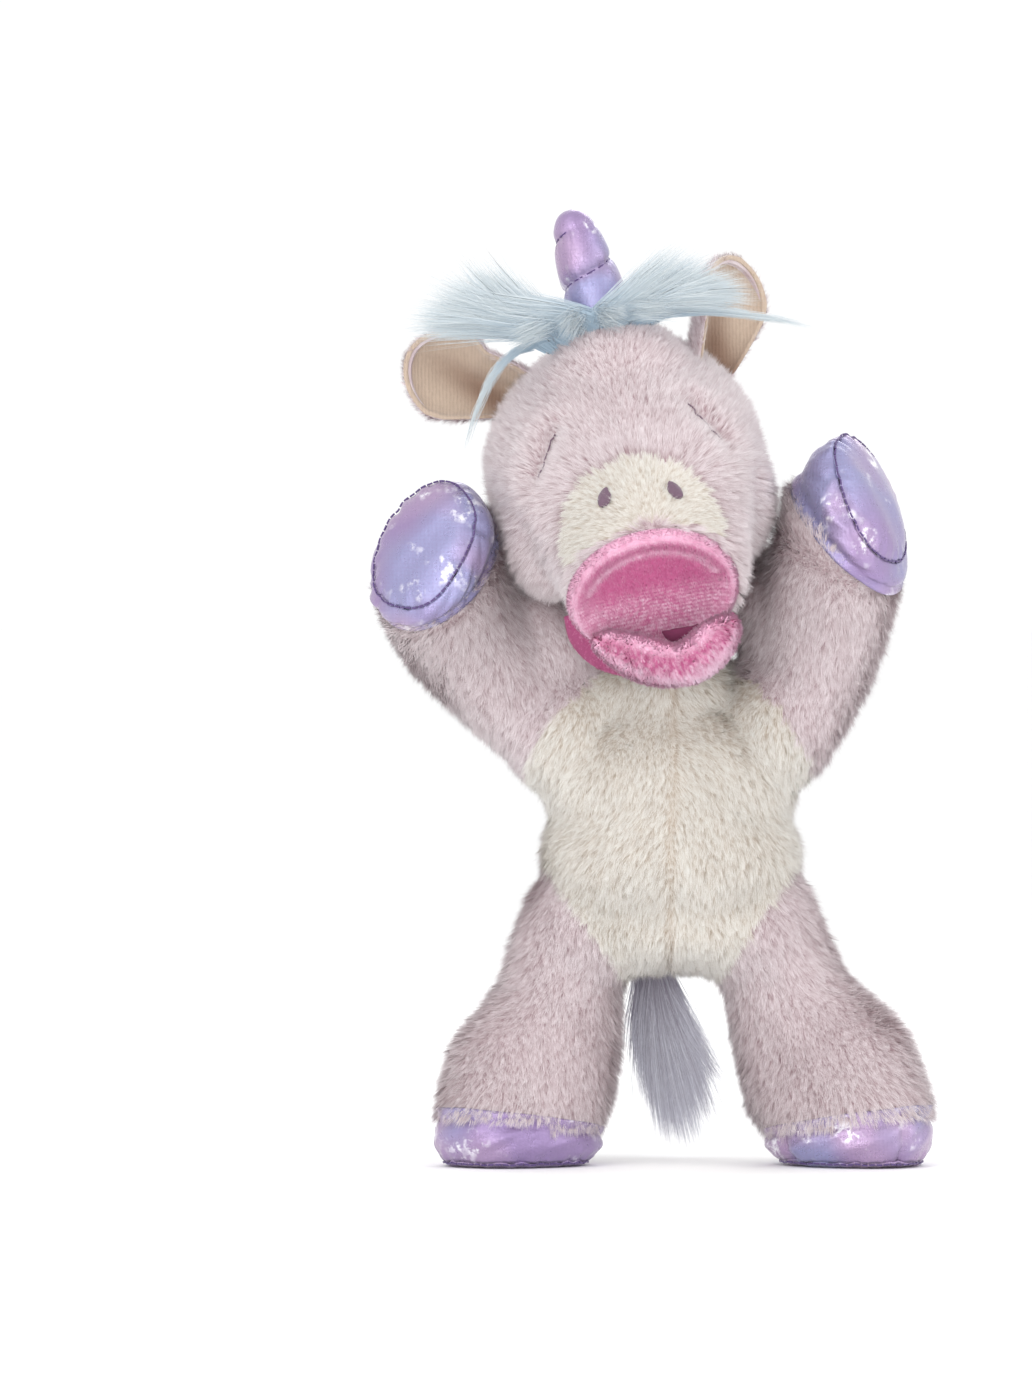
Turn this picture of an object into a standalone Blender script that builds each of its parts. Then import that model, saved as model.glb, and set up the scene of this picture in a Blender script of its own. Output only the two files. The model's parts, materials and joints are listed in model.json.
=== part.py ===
"""Plush unicorn: sewn fabric covers over stuffing. Head, horn, ears, lower lip, limbs and tail flex at their seams.

Places are millimetres from a point on the floor under the middle of the torso, +Z up and the face towards -Y;
to_metres() turns them into metres and moves them so that the origin lies under the middle of the whole toy.
Left and right are the toy's own: its left side is at +X.
"""

import math

import bmesh
import bpy
from mathutils import Matrix, Vector
from mathutils.bvhtree import BVHTree

# Driving dimensions, in millimetres and degrees
TORSO_UNDER_BOX = Vector((4.94, 10.75, 0.0))
WALL = 1.2
GAP = 0.35
SEAM_GAP = 0.9
LIMB_SIDES = 16
TORSO_SIDES = 24
HEAD_SIDES = 24

HIP = Vector((28.0, 0.0, 60.0))
HIP_RADIUS = 14.4
LEFT_SHOULDER = Vector((34.5, 0.0, 121.0))
RIGHT_SHOULDER = Vector((-35.4, 0.0, 119.5))
SHOULDER_RADIUS = 13.2

NECK_PIVOT = Vector((-5.5, 0.0, 152.5))
NECK_BALL_RADIUS = 15.0
NECK_STEM_RADIUS = 12.5
NECK_FOOT_Z = 128.0

HEAD_CENTRE = Vector((-12.5, 0.0, 188.5))
HEAD_ROLL = 11.0
HEAD_YAW = 3.0

TAIL_ROOT = Vector((-2.0, 22.0, 64.0))

COLOURS = {
    "lilac_fur": ((0.80, 0.69, 0.72), 0.95, 0.0),
    "cream_fur": ((0.86, 0.82, 0.74), 0.95, 0.0),
    "lilac_foil": ((0.55, 0.40, 0.72), 0.30, 0.6),
    "pink_velvet": ((0.76, 0.24, 0.50), 0.70, 0.0),
    "ear_velour": ((0.78, 0.68, 0.58), 0.90, 0.0),
    "blue_pile": ((0.62, 0.76, 0.84), 0.80, 0.0),
    "grey_pile": ((0.48, 0.50, 0.58), 0.80, 0.0),
    "white_fill": ((0.93, 0.93, 0.91), 1.0, 0.0),
    "mauve_thread": ((0.38, 0.25, 0.29), 0.70, 0.0),
    "satin_label": ((0.93, 0.92, 0.90), 0.45, 0.0),
}


# Frames and placing


def head_frame():
    """The head's own frame: its centre, rolled towards the toy's right and turned a little to its left."""
    turn = Matrix.Rotation(math.radians(HEAD_YAW), 4, "Z")
    roll = Matrix.Rotation(math.radians(-HEAD_ROLL), 4, "Y")
    return Matrix.Translation(HEAD_CENTRE) @ turn @ roll


HEAD = head_frame()


def to_metres(point):
    return (point + TORSO_UNDER_BOX) * 0.001


def material(name):
    """The Principled BSDF material of this name, made the first time it is asked for."""
    found = bpy.data.materials.get(name)
    if found:
        return found
    colour, roughness, metallic = COLOURS[name]
    made = bpy.data.materials.new(name)
    made.use_nodes = True
    shader = made.node_tree.nodes["Principled BSDF"]
    shader.inputs["Base Color"].default_value = (*colour, 1.0)
    shader.inputs["Roughness"].default_value = roughness
    shader.inputs["Metallic"].default_value = metallic
    return made


def joint_empty(name, pivot, parent=None):
    """An empty on a joint's axis. The pieces that move with the joint are its children."""
    empty = bpy.data.objects.new(name, None)
    bpy.context.scene.collection.objects.link(empty)
    empty["pivot"] = pivot
    empty.parent = parent
    start = Vector(parent["pivot"]) if parent else -TORSO_UNDER_BOX
    empty.location = (pivot - start) * 0.001
    return empty


def add(name, bm, finish, joint, thickness=0.0):
    """Closes a bmesh into an object on its joint's empty. A thickness turns an open surface into a wall."""
    bmesh.ops.recalc_face_normals(bm, faces=bm.faces)
    shift = Matrix.Translation(-Vector(joint["pivot"]))
    bmesh.ops.transform(bm, matrix=Matrix.Scale(0.001, 4) @ shift, verts=bm.verts)
    mesh = bpy.data.meshes.new(name)
    bm.to_mesh(mesh)
    bm.free()
    mesh.shade_smooth()
    mesh.set_sharp_from_angle(angle=math.radians(50))
    obj = bpy.data.objects.new(name, mesh)
    bpy.context.scene.collection.objects.link(obj)
    obj.parent = joint
    if finish:
        mesh.materials.append(material(finish))
    if thickness:
        wall = obj.modifiers.new("wall", "SOLIDIFY")
        wall.thickness = thickness * 0.001
        wall.offset = -1.0
    return obj


def cutter(name, bm, joint):
    """A closed helper shape that Boolean modifiers use. It is not a part of the toy."""
    obj = add(name, bm, None, joint)
    obj.hide_render = True
    obj.display_type = "WIRE"
    return obj


def boolean(obj, operation, other):
    step = obj.modifiers.new(f"{operation.lower()}_{other.name}", "BOOLEAN")
    step.operation = operation
    step.object = other
    step.solver = "EXACT"


# Shapes


def ring(centre, direction, long_axis, long_radius, short_radius):
    """The matrix that lays a unit circle square to direction, with its longer radius along long_axis."""
    normal = direction.normalized()
    across = (long_axis - normal * long_axis.dot(normal)).normalized()
    turn = Matrix((across, normal.cross(across), normal)).transposed().to_4x4()
    return Matrix.Translation(centre) @ turn @ Matrix.Diagonal((long_radius, short_radius, 1.0, 1.0))


def loft(matrices, sides, cap_start=True, cap_end=True):
    """A circle extruded from ring to ring. A capped end is filled with one face."""
    bm = bmesh.new()
    start = bmesh.ops.create_circle(bm, segments=sides, radius=1.0, matrix=matrices[0])["verts"]
    edges = list(bm.edges)
    first_edges = list(edges)
    verts = start
    for before, after in zip(matrices, matrices[1:]):
        made = bmesh.ops.extrude_edge_only(bm, edges=edges)["geom"]
        verts = [item for item in made if isinstance(item, bmesh.types.BMVert)]
        edges = [edge for edge in {e for v in verts for e in v.link_edges} if set(edge.verts) <= set(verts)]
        bmesh.ops.transform(bm, matrix=after @ before.inverted(), verts=verts)
    if cap_start:
        bmesh.ops.contextual_create(bm, geom=first_edges)
    if cap_end:
        bmesh.ops.contextual_create(bm, geom=edges)
    return bm


def directions(centres, last=None):
    """The direction of travel at each centre of a path."""
    count = len(centres)
    found = [centres[min(i + 1, count - 1)] - centres[max(i - 1, 0)] for i in range(count)]
    found[-1] = last or found[-1]
    return found


def tapered(stations, long_axis, sides, caps=(True, True)):
    """A loft through stations of (x, y, z, long radius, short radius)."""
    centres = [Vector(s[:3]) for s in stations]
    rings = [ring(c, d, long_axis, s[3], s[4]) for c, d, s in zip(centres, directions(centres), stations)]
    return loft(rings, sides, *caps)


def filling(bm, depth=WALL + GAP):
    """A surface drawn in square to itself by depth and closed at its openings."""
    bmesh.ops.recalc_face_normals(bm, faces=bm.faces)
    bm.normal_update()
    steps = [(v, v.normal * (-depth * v.calc_shell_factor())) for v in bm.verts]
    for vert, step in steps:
        vert.co += step
    open_edges = [edge for edge in bm.edges if edge.is_boundary]
    bmesh.ops.holes_fill(bm, edges=open_edges, sides=0)
    return bm


def ball(centre, radius, sides=20):
    bm = bmesh.new()
    place = Matrix.Translation(centre)
    bmesh.ops.create_uvsphere(bm, u_segments=sides, v_segments=sides // 2, radius=radius, matrix=place)
    return bm


def prism(outline, low_y, high_y, inset, frame=Matrix.Identity(4)):
    """An outline of (x, z) points drawn in by inset and extruded from low_y to high_y of a frame."""
    bm = bmesh.new()
    face = bm.faces.new([bm.verts.new((x, low_y, z)) for x, z in outline])
    if inset:
        rim = bmesh.ops.inset_region(bm, faces=[face], thickness=inset)["faces"]
        bmesh.ops.delete(bm, geom=rim, context="FACES")
    made = bmesh.ops.extrude_face_region(bm, geom=list(bm.faces))["geom"]
    moved = [item for item in made if isinstance(item, bmesh.types.BMVert)]
    bmesh.ops.translate(bm, vec=(0.0, high_y - low_y, 0.0), verts=moved)
    bmesh.ops.transform(bm, matrix=frame, verts=bm.verts)
    return bm


def thread(name, points, radius, finish, joint):
    """A thin round thread along a smooth run of points."""
    curve = bpy.data.curves.new(name, "CURVE")
    curve.dimensions = "3D"
    curve.bevel_depth = radius * 0.001
    curve.bevel_resolution = 1
    curve.use_fill_caps = True
    line = curve.splines.new("POLY")
    line.points.add(len(points) - 1)
    for point, place in zip(line.points, points):
        point.co = (*((place - Vector(joint["pivot"])) * 0.001), 1.0)
    obj = bpy.data.objects.new(name, curve)
    bpy.context.scene.collection.objects.link(obj)
    obj.parent = joint
    curve.materials.append(material(finish))
    return obj


# Torso: (z, half width, half depth, shift along x). Waist-high shelves leave room for the thighs and arms.

TORSO_RINGS = (
    (47.5, 3.0, 4.0, 0.0),
    (48.6, 6.5, 8.5, 0.0),
    (54.0, 10.5, 15.0, 0.0),
    (63.0, 12.0, 19.0, 0.0),
    (73.0, 12.6, 22.0, 0.0),
    (76.6, 15.0, 23.5, 0.0),
    (78.6, 25.0, 25.0, 0.0),
    (82.5, 30.0, 27.5, 0.0),
    (90.0, 32.0, 29.0, 0.0),
    (98.0, 30.5, 28.0, 0.0),
    (103.0, 27.0, 26.5, 0.0),
    (106.5, 23.0, 25.0, 0.0),
    (112.0, 20.6, 23.0, -0.5),
    (122.0, 20.0, 21.0, -2.0),
    (130.0, 18.0, 18.5, -4.0),
    (135.0, 14.6, 14.6, -5.0),
)
TUMMY_HALF = (
    (0.0, 50.0),
    (7.0, 51.0),
    (10.0, 60.0),
    (10.6, 75.0),
    (23.0, 79.5),
    (28.5, 88.0),
    (28.0, 97.0),
    (22.0, 104.5),
    (17.5, 112.0),
    (12.0, 124.0),
    (6.0, 129.0),
    (0.0, 130.0),
)
TUMMY_SHIFT = -1.0


def torso_surface():
    up = Vector((0, 0, 1))
    rings = [ring(Vector((dx, 0.0, z)), up, Vector((1, 0, 0)), a, b) for z, a, b, dx in TORSO_RINGS]
    return loft(rings, TORSO_SIDES, True, False)


def tummy_outline(sides):
    """The tummy panel's outline in front view. sides holds -1, 1 or both, for its halves."""
    points = []
    for side in sides:
        half = [(side * x + TUMMY_SHIFT, z) for x, z in TUMMY_HALF]
        points += half if side > 0 else half[::-1]
    return [p for i, p in enumerate(points) if p != points[i - 1]]


def build_torso(joint):
    neck_hole = cutter("neck_hole", ring_cylinder(NECK_STEM_RADIUS + GAP + 0.2, NECK_FOOT_Z - GAP, 140.0), joint)
    whole = cutter("tummy_opening", prism(tummy_outline((-1, 1)), -45.0, -2.0, 0.0), joint)
    cover = add("torso_cover", torso_surface(), "lilac_fur", joint, WALL)
    boolean(cover, "DIFFERENCE", whole)
    for name, side in (("left_tummy_panel", 1), ("right_tummy_panel", -1)):
        half = cutter(f"{name}_outline", prism(tummy_outline((side,)), -45.0, -2.0, GAP), joint)
        boolean(add(name, torso_surface(), "cream_fur", joint, WALL), "INTERSECT", half)
    stuffing = add("torso_stuffing", filling(torso_surface()), "white_fill", joint)
    boolean(stuffing, "DIFFERENCE", neck_hole)


def ring_cylinder(radius, low, high):
    """An upright cylinder round the neck's axis."""
    bm = bmesh.new()
    centre = Vector((NECK_PIVOT.x, NECK_PIVOT.y, (low + high) / 2))
    bmesh.ops.create_cone(
        bm,
        cap_ends=True,
        segments=20,
        radius1=radius,
        radius2=radius,
        depth=high - low,
        matrix=Matrix.Translation(centre),
    )
    return bm


def build_label(joint):
    """The blank care label sewn into the back seam."""
    bm = bmesh.new()
    place = Matrix.Translation((13.0, 33.4, 92.0)) @ Matrix.Rotation(math.radians(12), 4, "Z")
    bmesh.ops.create_cube(bm, size=1.0, matrix=place @ Matrix.Diagonal((0.8, 12.0, 18.0, 1.0)))
    add("care_label", bm, "satin_label", joint)


def build_neck(joint):
    """The packed neck: a stem that turns in the torso and a ball that the head nods on."""
    base = Vector((NECK_PIVOT.x, NECK_PIVOT.y, NECK_FOOT_Z))
    up = Vector((0, 0, 1))
    rings = [ring(base, up, Vector((1, 0, 0)), NECK_STEM_RADIUS, NECK_STEM_RADIUS)]
    lowest = math.acos(NECK_STEM_RADIUS / NECK_BALL_RADIUS)
    for step in range(7):
        angle = -lowest + step * (math.radians(82) + lowest) / 6
        radius = NECK_BALL_RADIUS * math.cos(angle)
        centre = NECK_PIVOT + up * NECK_BALL_RADIUS * math.sin(angle)
        rings.append(ring(centre, up, Vector((1, 0, 0)), radius, radius))
    add("neck_stuffing", loft(rings, 20), "lilac_fur", joint)


# Limbs: stations of (x, y, z, long radius, short radius) from the joint's ball to the hoof

RIGHT_ARM = {
    "pivot": RIGHT_SHOULDER,
    "radius": SHOULDER_RADIUS,
    "stations": (
        (-46.0, -2.0, 131.0, 15.2, 15.0),
        (-54.0, -5.5, 142.0, 17.4, 16.0),
        (-59.0, -11.0, 152.0, 19.4, 16.8),
        (-62.0, -18.0, 160.0, 20.4, 16.6),
    ),
    "hoof": Vector((-65.5, -25.0, 166.0)),
    "facing": Vector((-0.50, -0.76, 0.42)),
    "long_axis": Vector((0.40, 0.21, 0.89)),
    "sole": (19.6, 15.6),
}
LEFT_ARM = {
    "pivot": LEFT_SHOULDER,
    "radius": SHOULDER_RADIUS,
    "stations": (
        (39.0, -2.0, 134.5, 15.2, 15.0),
        (42.0, -5.5, 147.0, 17.2, 16.0),
        (43.5, -9.5, 158.5, 19.2, 16.8),
        (46.0, -13.5, 169.0, 20.4, 16.6),
    ),
    "hoof": Vector((52.0, -18.0, 178.5)),
    "facing": Vector((0.80, -0.45, 0.40)),
    "long_axis": Vector((-0.36, 0.22, 0.90)),
    "sole": (19.6, 15.6),
}
RIGHT_LEG = {
    "pivot": Vector((-HIP.x, HIP.y, HIP.z)),
    "radius": HIP_RADIUS,
    "stations": (
        (-29.5, -0.5, 45.5, 16.8, 16.0),
        (-32.5, -2.0, 34.5, 20.6, 17.4),
        (-37.0, -5.5, 24.0, 24.0, 19.0),
        (-40.5, -9.0, 13.5, 23.6, 19.0),
    ),
    "hoof": Vector((-41.5, -10.5, 2.7)),
    "facing": Vector((0.0, 0.0, -1.0)),
    "long_axis": Vector((-0.92, -0.40, 0.0)),
    "sole": (20.8, 16.8),
}


LEFT_LEG = {
    "pivot": HIP,
    "radius": HIP_RADIUS,
    "stations": (
        (31.0, -0.5, 45.5, 16.8, 16.0),
        (36.5, -2.0, 34.5, 20.8, 17.4),
        (43.0, -5.5, 24.0, 24.4, 19.0),
        (47.5, -9.0, 13.5, 23.6, 19.0),
    ),
    "hoof": Vector((49.0, -10.5, 2.7)),
    "facing": Vector((0.0, 0.0, -1.0)),
    "long_axis": Vector((0.92, -0.40, 0.0)),
    "sole": (20.8, 16.8),
}
ROOT_ANGLES = (22.0, 45.0, 68.0, 90.0)
SOLE_THICKNESS = 2.35


def limb_rings(limb):
    """Rings round the joint's ball and along the shaft, ending at the cuff's seam."""
    centres = [limb["pivot"], *(Vector(s[:3]) for s in limb["stations"]), limb["hoof"]]
    ways = directions(centres, last=limb["facing"])
    ways[-2] = ways[-2].normalized() + limb["facing"].normalized()
    radius = limb["radius"]
    rings = []
    for degrees in ROOT_ANGLES:
        angle = math.radians(degrees)
        centre = limb["pivot"] - ways[0].normalized() * radius * math.cos(angle)
        across = radius * math.sin(angle)
        rings.append(ring(centre, ways[0], limb["long_axis"], across, across))
    for centre, way, station in zip(centres[1:], ways[1:], limb["stations"]):
        rings.append(ring(centre, way, limb["long_axis"], station[3], station[4]))
    return rings


def moved_along(matrix, direction, distance):
    return Matrix.Translation(direction.normalized() * distance) @ matrix


def build_limb(name, limb, joint):
    """A fur sleeve, its stuffing, the foil hoof cuff and the foil sole."""
    facing = limb["facing"].normalized()
    sleeve = limb_rings(limb)
    add(f"{name}_cover", loft(sleeve, LIMB_SIDES, False, False), "lilac_fur", joint, WALL)

    last = ring(limb["hoof"], facing, limb["long_axis"], limb["sole"][0], limb["sole"][1])
    seam = Vector(sleeve[-1].translation)
    start = moved_along(sleeve[-1], limb["hoof"] - seam, SEAM_GAP)
    cuff = loft([start, last], LIMB_SIDES, False, False)
    add(f"{name}_hoof_cuff", cuff, "lilac_foil", joint, WALL)

    inside = loft([*sleeve, moved_along(last, -facing, GAP)], LIMB_SIDES, False, False)
    add(f"{name}_stuffing", filling(inside), "white_fill", joint)

    sole_rings = [
        ring(limb["hoof"] + facing * out, facing, limb["long_axis"], limb["sole"][0] - less, limb["sole"][1] - less)
        for out, less in ((0.5, 0.8), (1.2, 0.0), (2.0, 0.8), (GAP + SOLE_THICKNESS, 2.4))
    ]
    add(f"{name}_hoof_sole", loft(sole_rings, LIMB_SIDES), "lilac_foil", joint)


# Head, in its own frame: (y, z, half width, half height, tilt in degrees), from the back to the mouth's rim

HEAD_RINGS = (
    (33.6, 1.5, 4.5, 4.5, 0.0),
    (31.5, 1.5, 13.0, 13.0, 0.0),
    (26.5, 1.2, 22.0, 22.0, 0.0),
    (18.5, 0.8, 29.5, 29.5, 0.0),
    (8.5, 0.0, 34.6, 34.4, 0.0),
    (-2.5, -1.0, 36.2, 35.6, 0.0),
    (-13.0, -3.5, 35.2, 33.6, 2.0),
    (-22.5, -8.0, 32.4, 30.2, 10.0),
    (-31.5, -15.0, 28.6, 26.0, 18.0),
    (-39.5, -22.5, 25.6, 22.2, 26.0),
    (-45.5, -29.0, 23.6, 20.0, 32.0),
    (-49.5, -34.0, 22.6, 19.0, 34.0),
)
SNOUT_PATCH = (
    (0.0, 1.0),
    (11.0, -2.0),
    (18.0, -9.0),
    (21.5, -20.0),
    (19.5, -23.5),
    (10.0, -17.0),
    (0.0, -15.4),
    (-10.0, -17.0),
    (-19.5, -23.5),
    (-21.5, -20.0),
    (-18.0, -9.0),
    (-11.0, -2.0),
)
NOSTRIL = (9.6, -8.8)
EYE_TOP = (13.6, 9.5)
EYE_END = (25.0, -2.5)


def mouth_way():
    """Out of the mouth, square to its rim, in the head's frame."""
    tilt = math.radians(HEAD_RINGS[-1][4])
    return Vector((0.0, -math.cos(tilt), -math.sin(tilt)))


def head_ring(station):
    y, z, wide, high, tilt = station
    way = Vector((0.0, -math.cos(math.radians(tilt)), -math.sin(math.radians(tilt))))
    return HEAD @ ring(Vector((0.0, y, z)), way, Vector((1, 0, 0)), wide, high)


def head_surface():
    return loft([head_ring(station) for station in HEAD_RINGS], HEAD_SIDES, True, False)


def on_face(tree, x, z, lift):
    """The point of the head's surface straight behind (x, z) of the head's front, lifted off it, and its normal."""
    way = HEAD.to_3x3() @ Vector((0.0, 1.0, 0.0))
    place, normal, _, _ = tree.ray_cast(HEAD @ Vector((x, -90.0, z)), way)
    normal = normal if normal.dot(way) < 0 else -normal
    return place + normal * lift, normal


def build_face(joint):
    """Embroidered nostrils on the snout and the pulled stitches that shut the eyes."""
    surface = head_surface()
    tree = BVHTree.FromBMesh(surface)
    surface.free()
    for side, sign in (("left", 1), ("right", -1)):
        place, normal = on_face(tree, sign * NOSTRIL[0], NOSTRIL[1], 0.8)
        long_axis = HEAD.to_3x3() @ Vector((sign * 0.5, 0.0, -0.85))
        rings = [
            ring(place + normal * out, normal, long_axis, 2.6 - less, 1.6 - less)
            for out, less in ((-0.3, 0.5), (0.0, 0.0), (0.45, 0.7))
        ]
        add(f"{side}_nostril", loft(rings, 10), "mauve_thread", joint)
        points = []
        for step in range(8):
            t = step / 7
            bow = 1.6 * math.sin(math.pi * t)
            x = sign * (EYE_TOP[0] + (EYE_END[0] - EYE_TOP[0]) * t - bow * 0.6)
            z = EYE_TOP[1] + (EYE_END[1] - EYE_TOP[1]) * t - bow
            points.append(on_face(tree, x, z, 1.5)[0])
        thread(f"{side}_eye_stitch", points, 0.55, "mauve_thread", joint)


def build_head(joint):
    socket = cutter("neck_socket", ball(NECK_PIVOT, NECK_BALL_RADIUS + 0.8), joint)
    opening = cutter("snout_opening", prism(SNOUT_PATCH, -75.0, -22.0, 0.0, HEAD), joint)
    outline = cutter("snout_outline", prism(SNOUT_PATCH, -75.0, -22.0, GAP, HEAD), joint)
    cover = add("head_cover", head_surface(), "lilac_fur", joint, WALL)
    boolean(cover, "DIFFERENCE", socket)
    boolean(cover, "DIFFERENCE", opening)
    boolean(add("snout_patch", head_surface(), "cream_fur", joint, WALL), "INTERSECT", outline)
    stuffing = add("head_stuffing", filling(head_surface()), "white_fill", joint)
    boolean(stuffing, "DIFFERENCE", socket)
    build_face(joint)


def build_mouth(joint):
    """The velvet palate that closes the muzzle, and the gusset that runs under the lower lip."""
    rim = HEAD_RINGS[-1]
    centre = Vector((0.0, rim[0], rim[1]))
    way = mouth_way()
    rings = [
        HEAD @ ring(centre + way * out, way, Vector((1, 0, 0)), rim[2] - less, rim[3] - less)
        for out, less in ((GAP, 0.6), (1.6, 0.0), (3.0, 1.2), (3.6, 4.0), (3.0, 9.0))
    ]
    add("mouth_palate", loft(rings, HEAD_SIDES), "pink_velvet", joint)
    gusset = [
        (-23.0, -46.0, -40.0, 2.2, 0.8),
        (-19.5, -43.5, -49.2, 3.8, 0.8),
        (-11.5, -41.5, -56.0, 4.2, 0.8),
        (0.0, -40.5, -58.6, 4.4, 0.8),
        (11.5, -41.5, -56.0, 4.2, 0.8),
        (19.5, -43.5, -49.2, 3.8, 0.8),
        (23.0, -46.0, -40.0, 2.2, 0.8),
    ]
    bm = tapered(gusset, Vector((0, 1, 0.25)), 8)
    bmesh.ops.transform(bm, matrix=HEAD, verts=bm.verts)
    add("mouth_gusset", bm, "pink_velvet", joint)


LIP_SHIFT = 1.5
LIP = (
    (-19.5, -50.5, -44.0, 3.0, 2.6),
    (-15.5, -53.0, -48.5, 5.6, 3.6),
    (-8.5, -54.8, -52.0, 7.2, 4.0),
    (0.0, -55.4, -53.0, 7.2, 4.0),
    (8.5, -54.8, -52.0, 7.2, 4.0),
    (15.5, -53.0, -48.5, 5.6, 3.6),
    (19.5, -50.5, -44.0, 3.0, 2.6),
)
LIP_HINGE = Vector((0.0, -44.0, -44.0))


def lip_surface(stations):
    bm = tapered(stations, Vector((0, -0.35, 1)), 12, caps=(False, False))
    bmesh.ops.transform(bm, matrix=HEAD, verts=bm.verts)
    return bm


def build_lip(joint):
    """The puffed lower lip: a velvet tube, open at its ends, over wadding."""
    stations = [(x + LIP_SHIFT, *rest) for x, *rest in LIP]
    add("lower_lip", lip_surface(stations), "pink_velvet", joint, WALL)
    add("lip_wadding", filling(lip_surface(stations)), "white_fill", joint)


# Horn: (height, radius) above its seat, waisted where the thread winds round it

HORN_SEAT = Vector((0.0, -6.0, 37.0))
HORN_PROFILE = (
    (0.0, 9.0),
    (4.5, 9.2),
    (9.0, 7.6),
    (13.0, 8.3),
    (17.5, 6.6),
    (21.0, 6.9),
    (25.5, 5.8),
    (29.5, 4.6),
    (31.8, 2.2),
)
HORN_BEND = -0.05


def horn_place(height):
    """The horn's middle at a height above its seat, in the head's frame. It bends to the toy's right."""
    return HORN_SEAT + Vector((HORN_BEND * height**2 / 25.0, -0.10 * height, height))


def horn_surface():
    stations = [(*(HEAD @ horn_place(h)), r, r) for h, r in HORN_PROFILE]
    return tapered(stations, Vector((1, 0, 0)), 14, caps=(False, True))


def build_horn(joint):
    add("horn_cover", horn_surface(), "lilac_foil", joint, WALL)
    add("horn_stuffing", filling(horn_surface()), "white_fill", joint)
    points = []
    for step in range(25):
        t = step / 24
        turn = math.radians(200 + 700 * t)
        height = 5.5 + 19.0 * t
        radius = 10.7 - 3.6 * t
        around = Vector((math.cos(turn), math.sin(turn), 0.0)) * radius
        points.append(HEAD @ (horn_place(height) + around))
    thread("horn_thread", points, 0.4, "mauve_thread", joint)


# Ears: a fur cup with a velour lining, on a hinge line along the head's side

EARS = {
    "left": {"seat": Vector((33.0, 1.0, 22.0)), "out": Vector((0.20, 0.0, 0.98)), "open": Vector((0.66, -0.75, -0.1))},
    "right": {"seat": Vector((-30.0, 1.0, 22.0)), "out": Vector((-0.72, 0.0, 0.69)), "open": Vector((-0.3, -0.94, 0.0))},
}
EAR_LENGTH, EAR_HALF_WIDTH, EAR_DEPTH = 27.0, 12.5, 8.0
EAR_LIFT = 2.0
EAR_BASE = 0.16


def ear_frame(ear):
    """X across the ear, Y towards its back and Z from the seat to the tip."""
    up = ear["out"].normalized()
    back = -(ear["open"] - up * ear["open"].dot(up)).normalized()
    across = back.cross(up)
    turn = Matrix((across, back, up)).transposed().to_4x4()
    return HEAD @ Matrix.Translation(ear["seat"] + up * EAR_LIFT) @ turn


def ear_cup(frame, shrink):
    """Half of a long ball, open towards -Y of the ear's frame and cut flat where it is sewn to the head."""
    bm = bmesh.new()
    bmesh.ops.create_uvsphere(bm, u_segments=16, v_segments=10, radius=1.0)
    for place, way in (((0, -0.12, 0), (0, -1, 0)), ((0, 0, 2 * EAR_BASE - 1), (0, 0, -1))):
        whole = [*bm.verts, *bm.edges, *bm.faces]
        bmesh.ops.bisect_plane(bm, geom=whole, plane_co=place, plane_no=way, clear_outer=True)
    half_length = EAR_LENGTH / 2 / (1 - EAR_BASE)
    size = Matrix.Diagonal((EAR_HALF_WIDTH - shrink, EAR_DEPTH - shrink, half_length - shrink, 1.0))
    place = frame @ Matrix.Translation((0.0, 0.0, EAR_LENGTH - half_length)) @ size
    bmesh.ops.transform(bm, matrix=place, verts=bm.verts)
    return bm


def build_ear(side, joint):
    frame = ear_frame(EARS[side])
    add(f"{side}_ear_fur", ear_cup(frame, 0.0), "lilac_fur", joint, WALL)
    add(f"{side}_ear_lining", ear_cup(frame, WALL + GAP), "ear_velour", joint, WALL)


# Long pile: forelock in front of the horn, mane down the back of the head, and tail

FORELOCK = (
    (-43.0, -11.0, 44.0, 2.0, 1.6),
    (-33.0, -12.0, 41.0, 5.5, 3.0),
    (-17.0, -16.5, 36.5, 5.0, 3.2),
    (0.0, -19.0, 33.4, 4.4, 3.2),
    (15.0, -16.5, 35.4, 5.0, 3.2),
    (26.0, -14.0, 36.5, 4.6, 3.0),
    (36.0, -13.0, 35.5, 2.0, 1.6),
)
MANE_RADII = (38.2, 38.8)
TAIL = (
    (-1.8, 22.6, 61.0, 3.4, 2.8),
    (-1.5, 26.5, 53.0, 7.5, 5.0),
    (0.5, 28.5, 41.0, 10.5, 6.0),
    (2.5, 28.5, 28.0, 11.5, 6.0),
    (4.5, 27.0, 16.0, 9.5, 5.0),
    (6.0, 25.0, 6.5, 4.5, 2.4),
)


def build_pile(head_joint, tail_joint):
    bm = tapered(FORELOCK, Vector((0, 0, 1)), 10)
    bmesh.ops.transform(bm, matrix=HEAD, verts=bm.verts)
    add("forelock", bm, "blue_pile", head_joint)
    strip = []
    for step in range(8):
        angle = math.radians(16 + step * 15)
        thick = 2.0 if 0 < step < 7 else 1.2
        strip.append((0.0, MANE_RADII[0] * math.sin(angle), MANE_RADII[1] * math.cos(angle), 6.0, thick))
    bm = tapered(strip, Vector((1, 0, 0)), 10)
    bmesh.ops.transform(bm, matrix=HEAD, verts=bm.verts)
    add("mane", bm, "blue_pile", head_joint)
    add("tail_pile", tapered(TAIL, Vector((1, 0, 0)), 14), "grey_pile", tail_joint)


def clear_scene():
    for obj in list(bpy.data.objects):
        bpy.data.objects.remove(obj)


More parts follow.
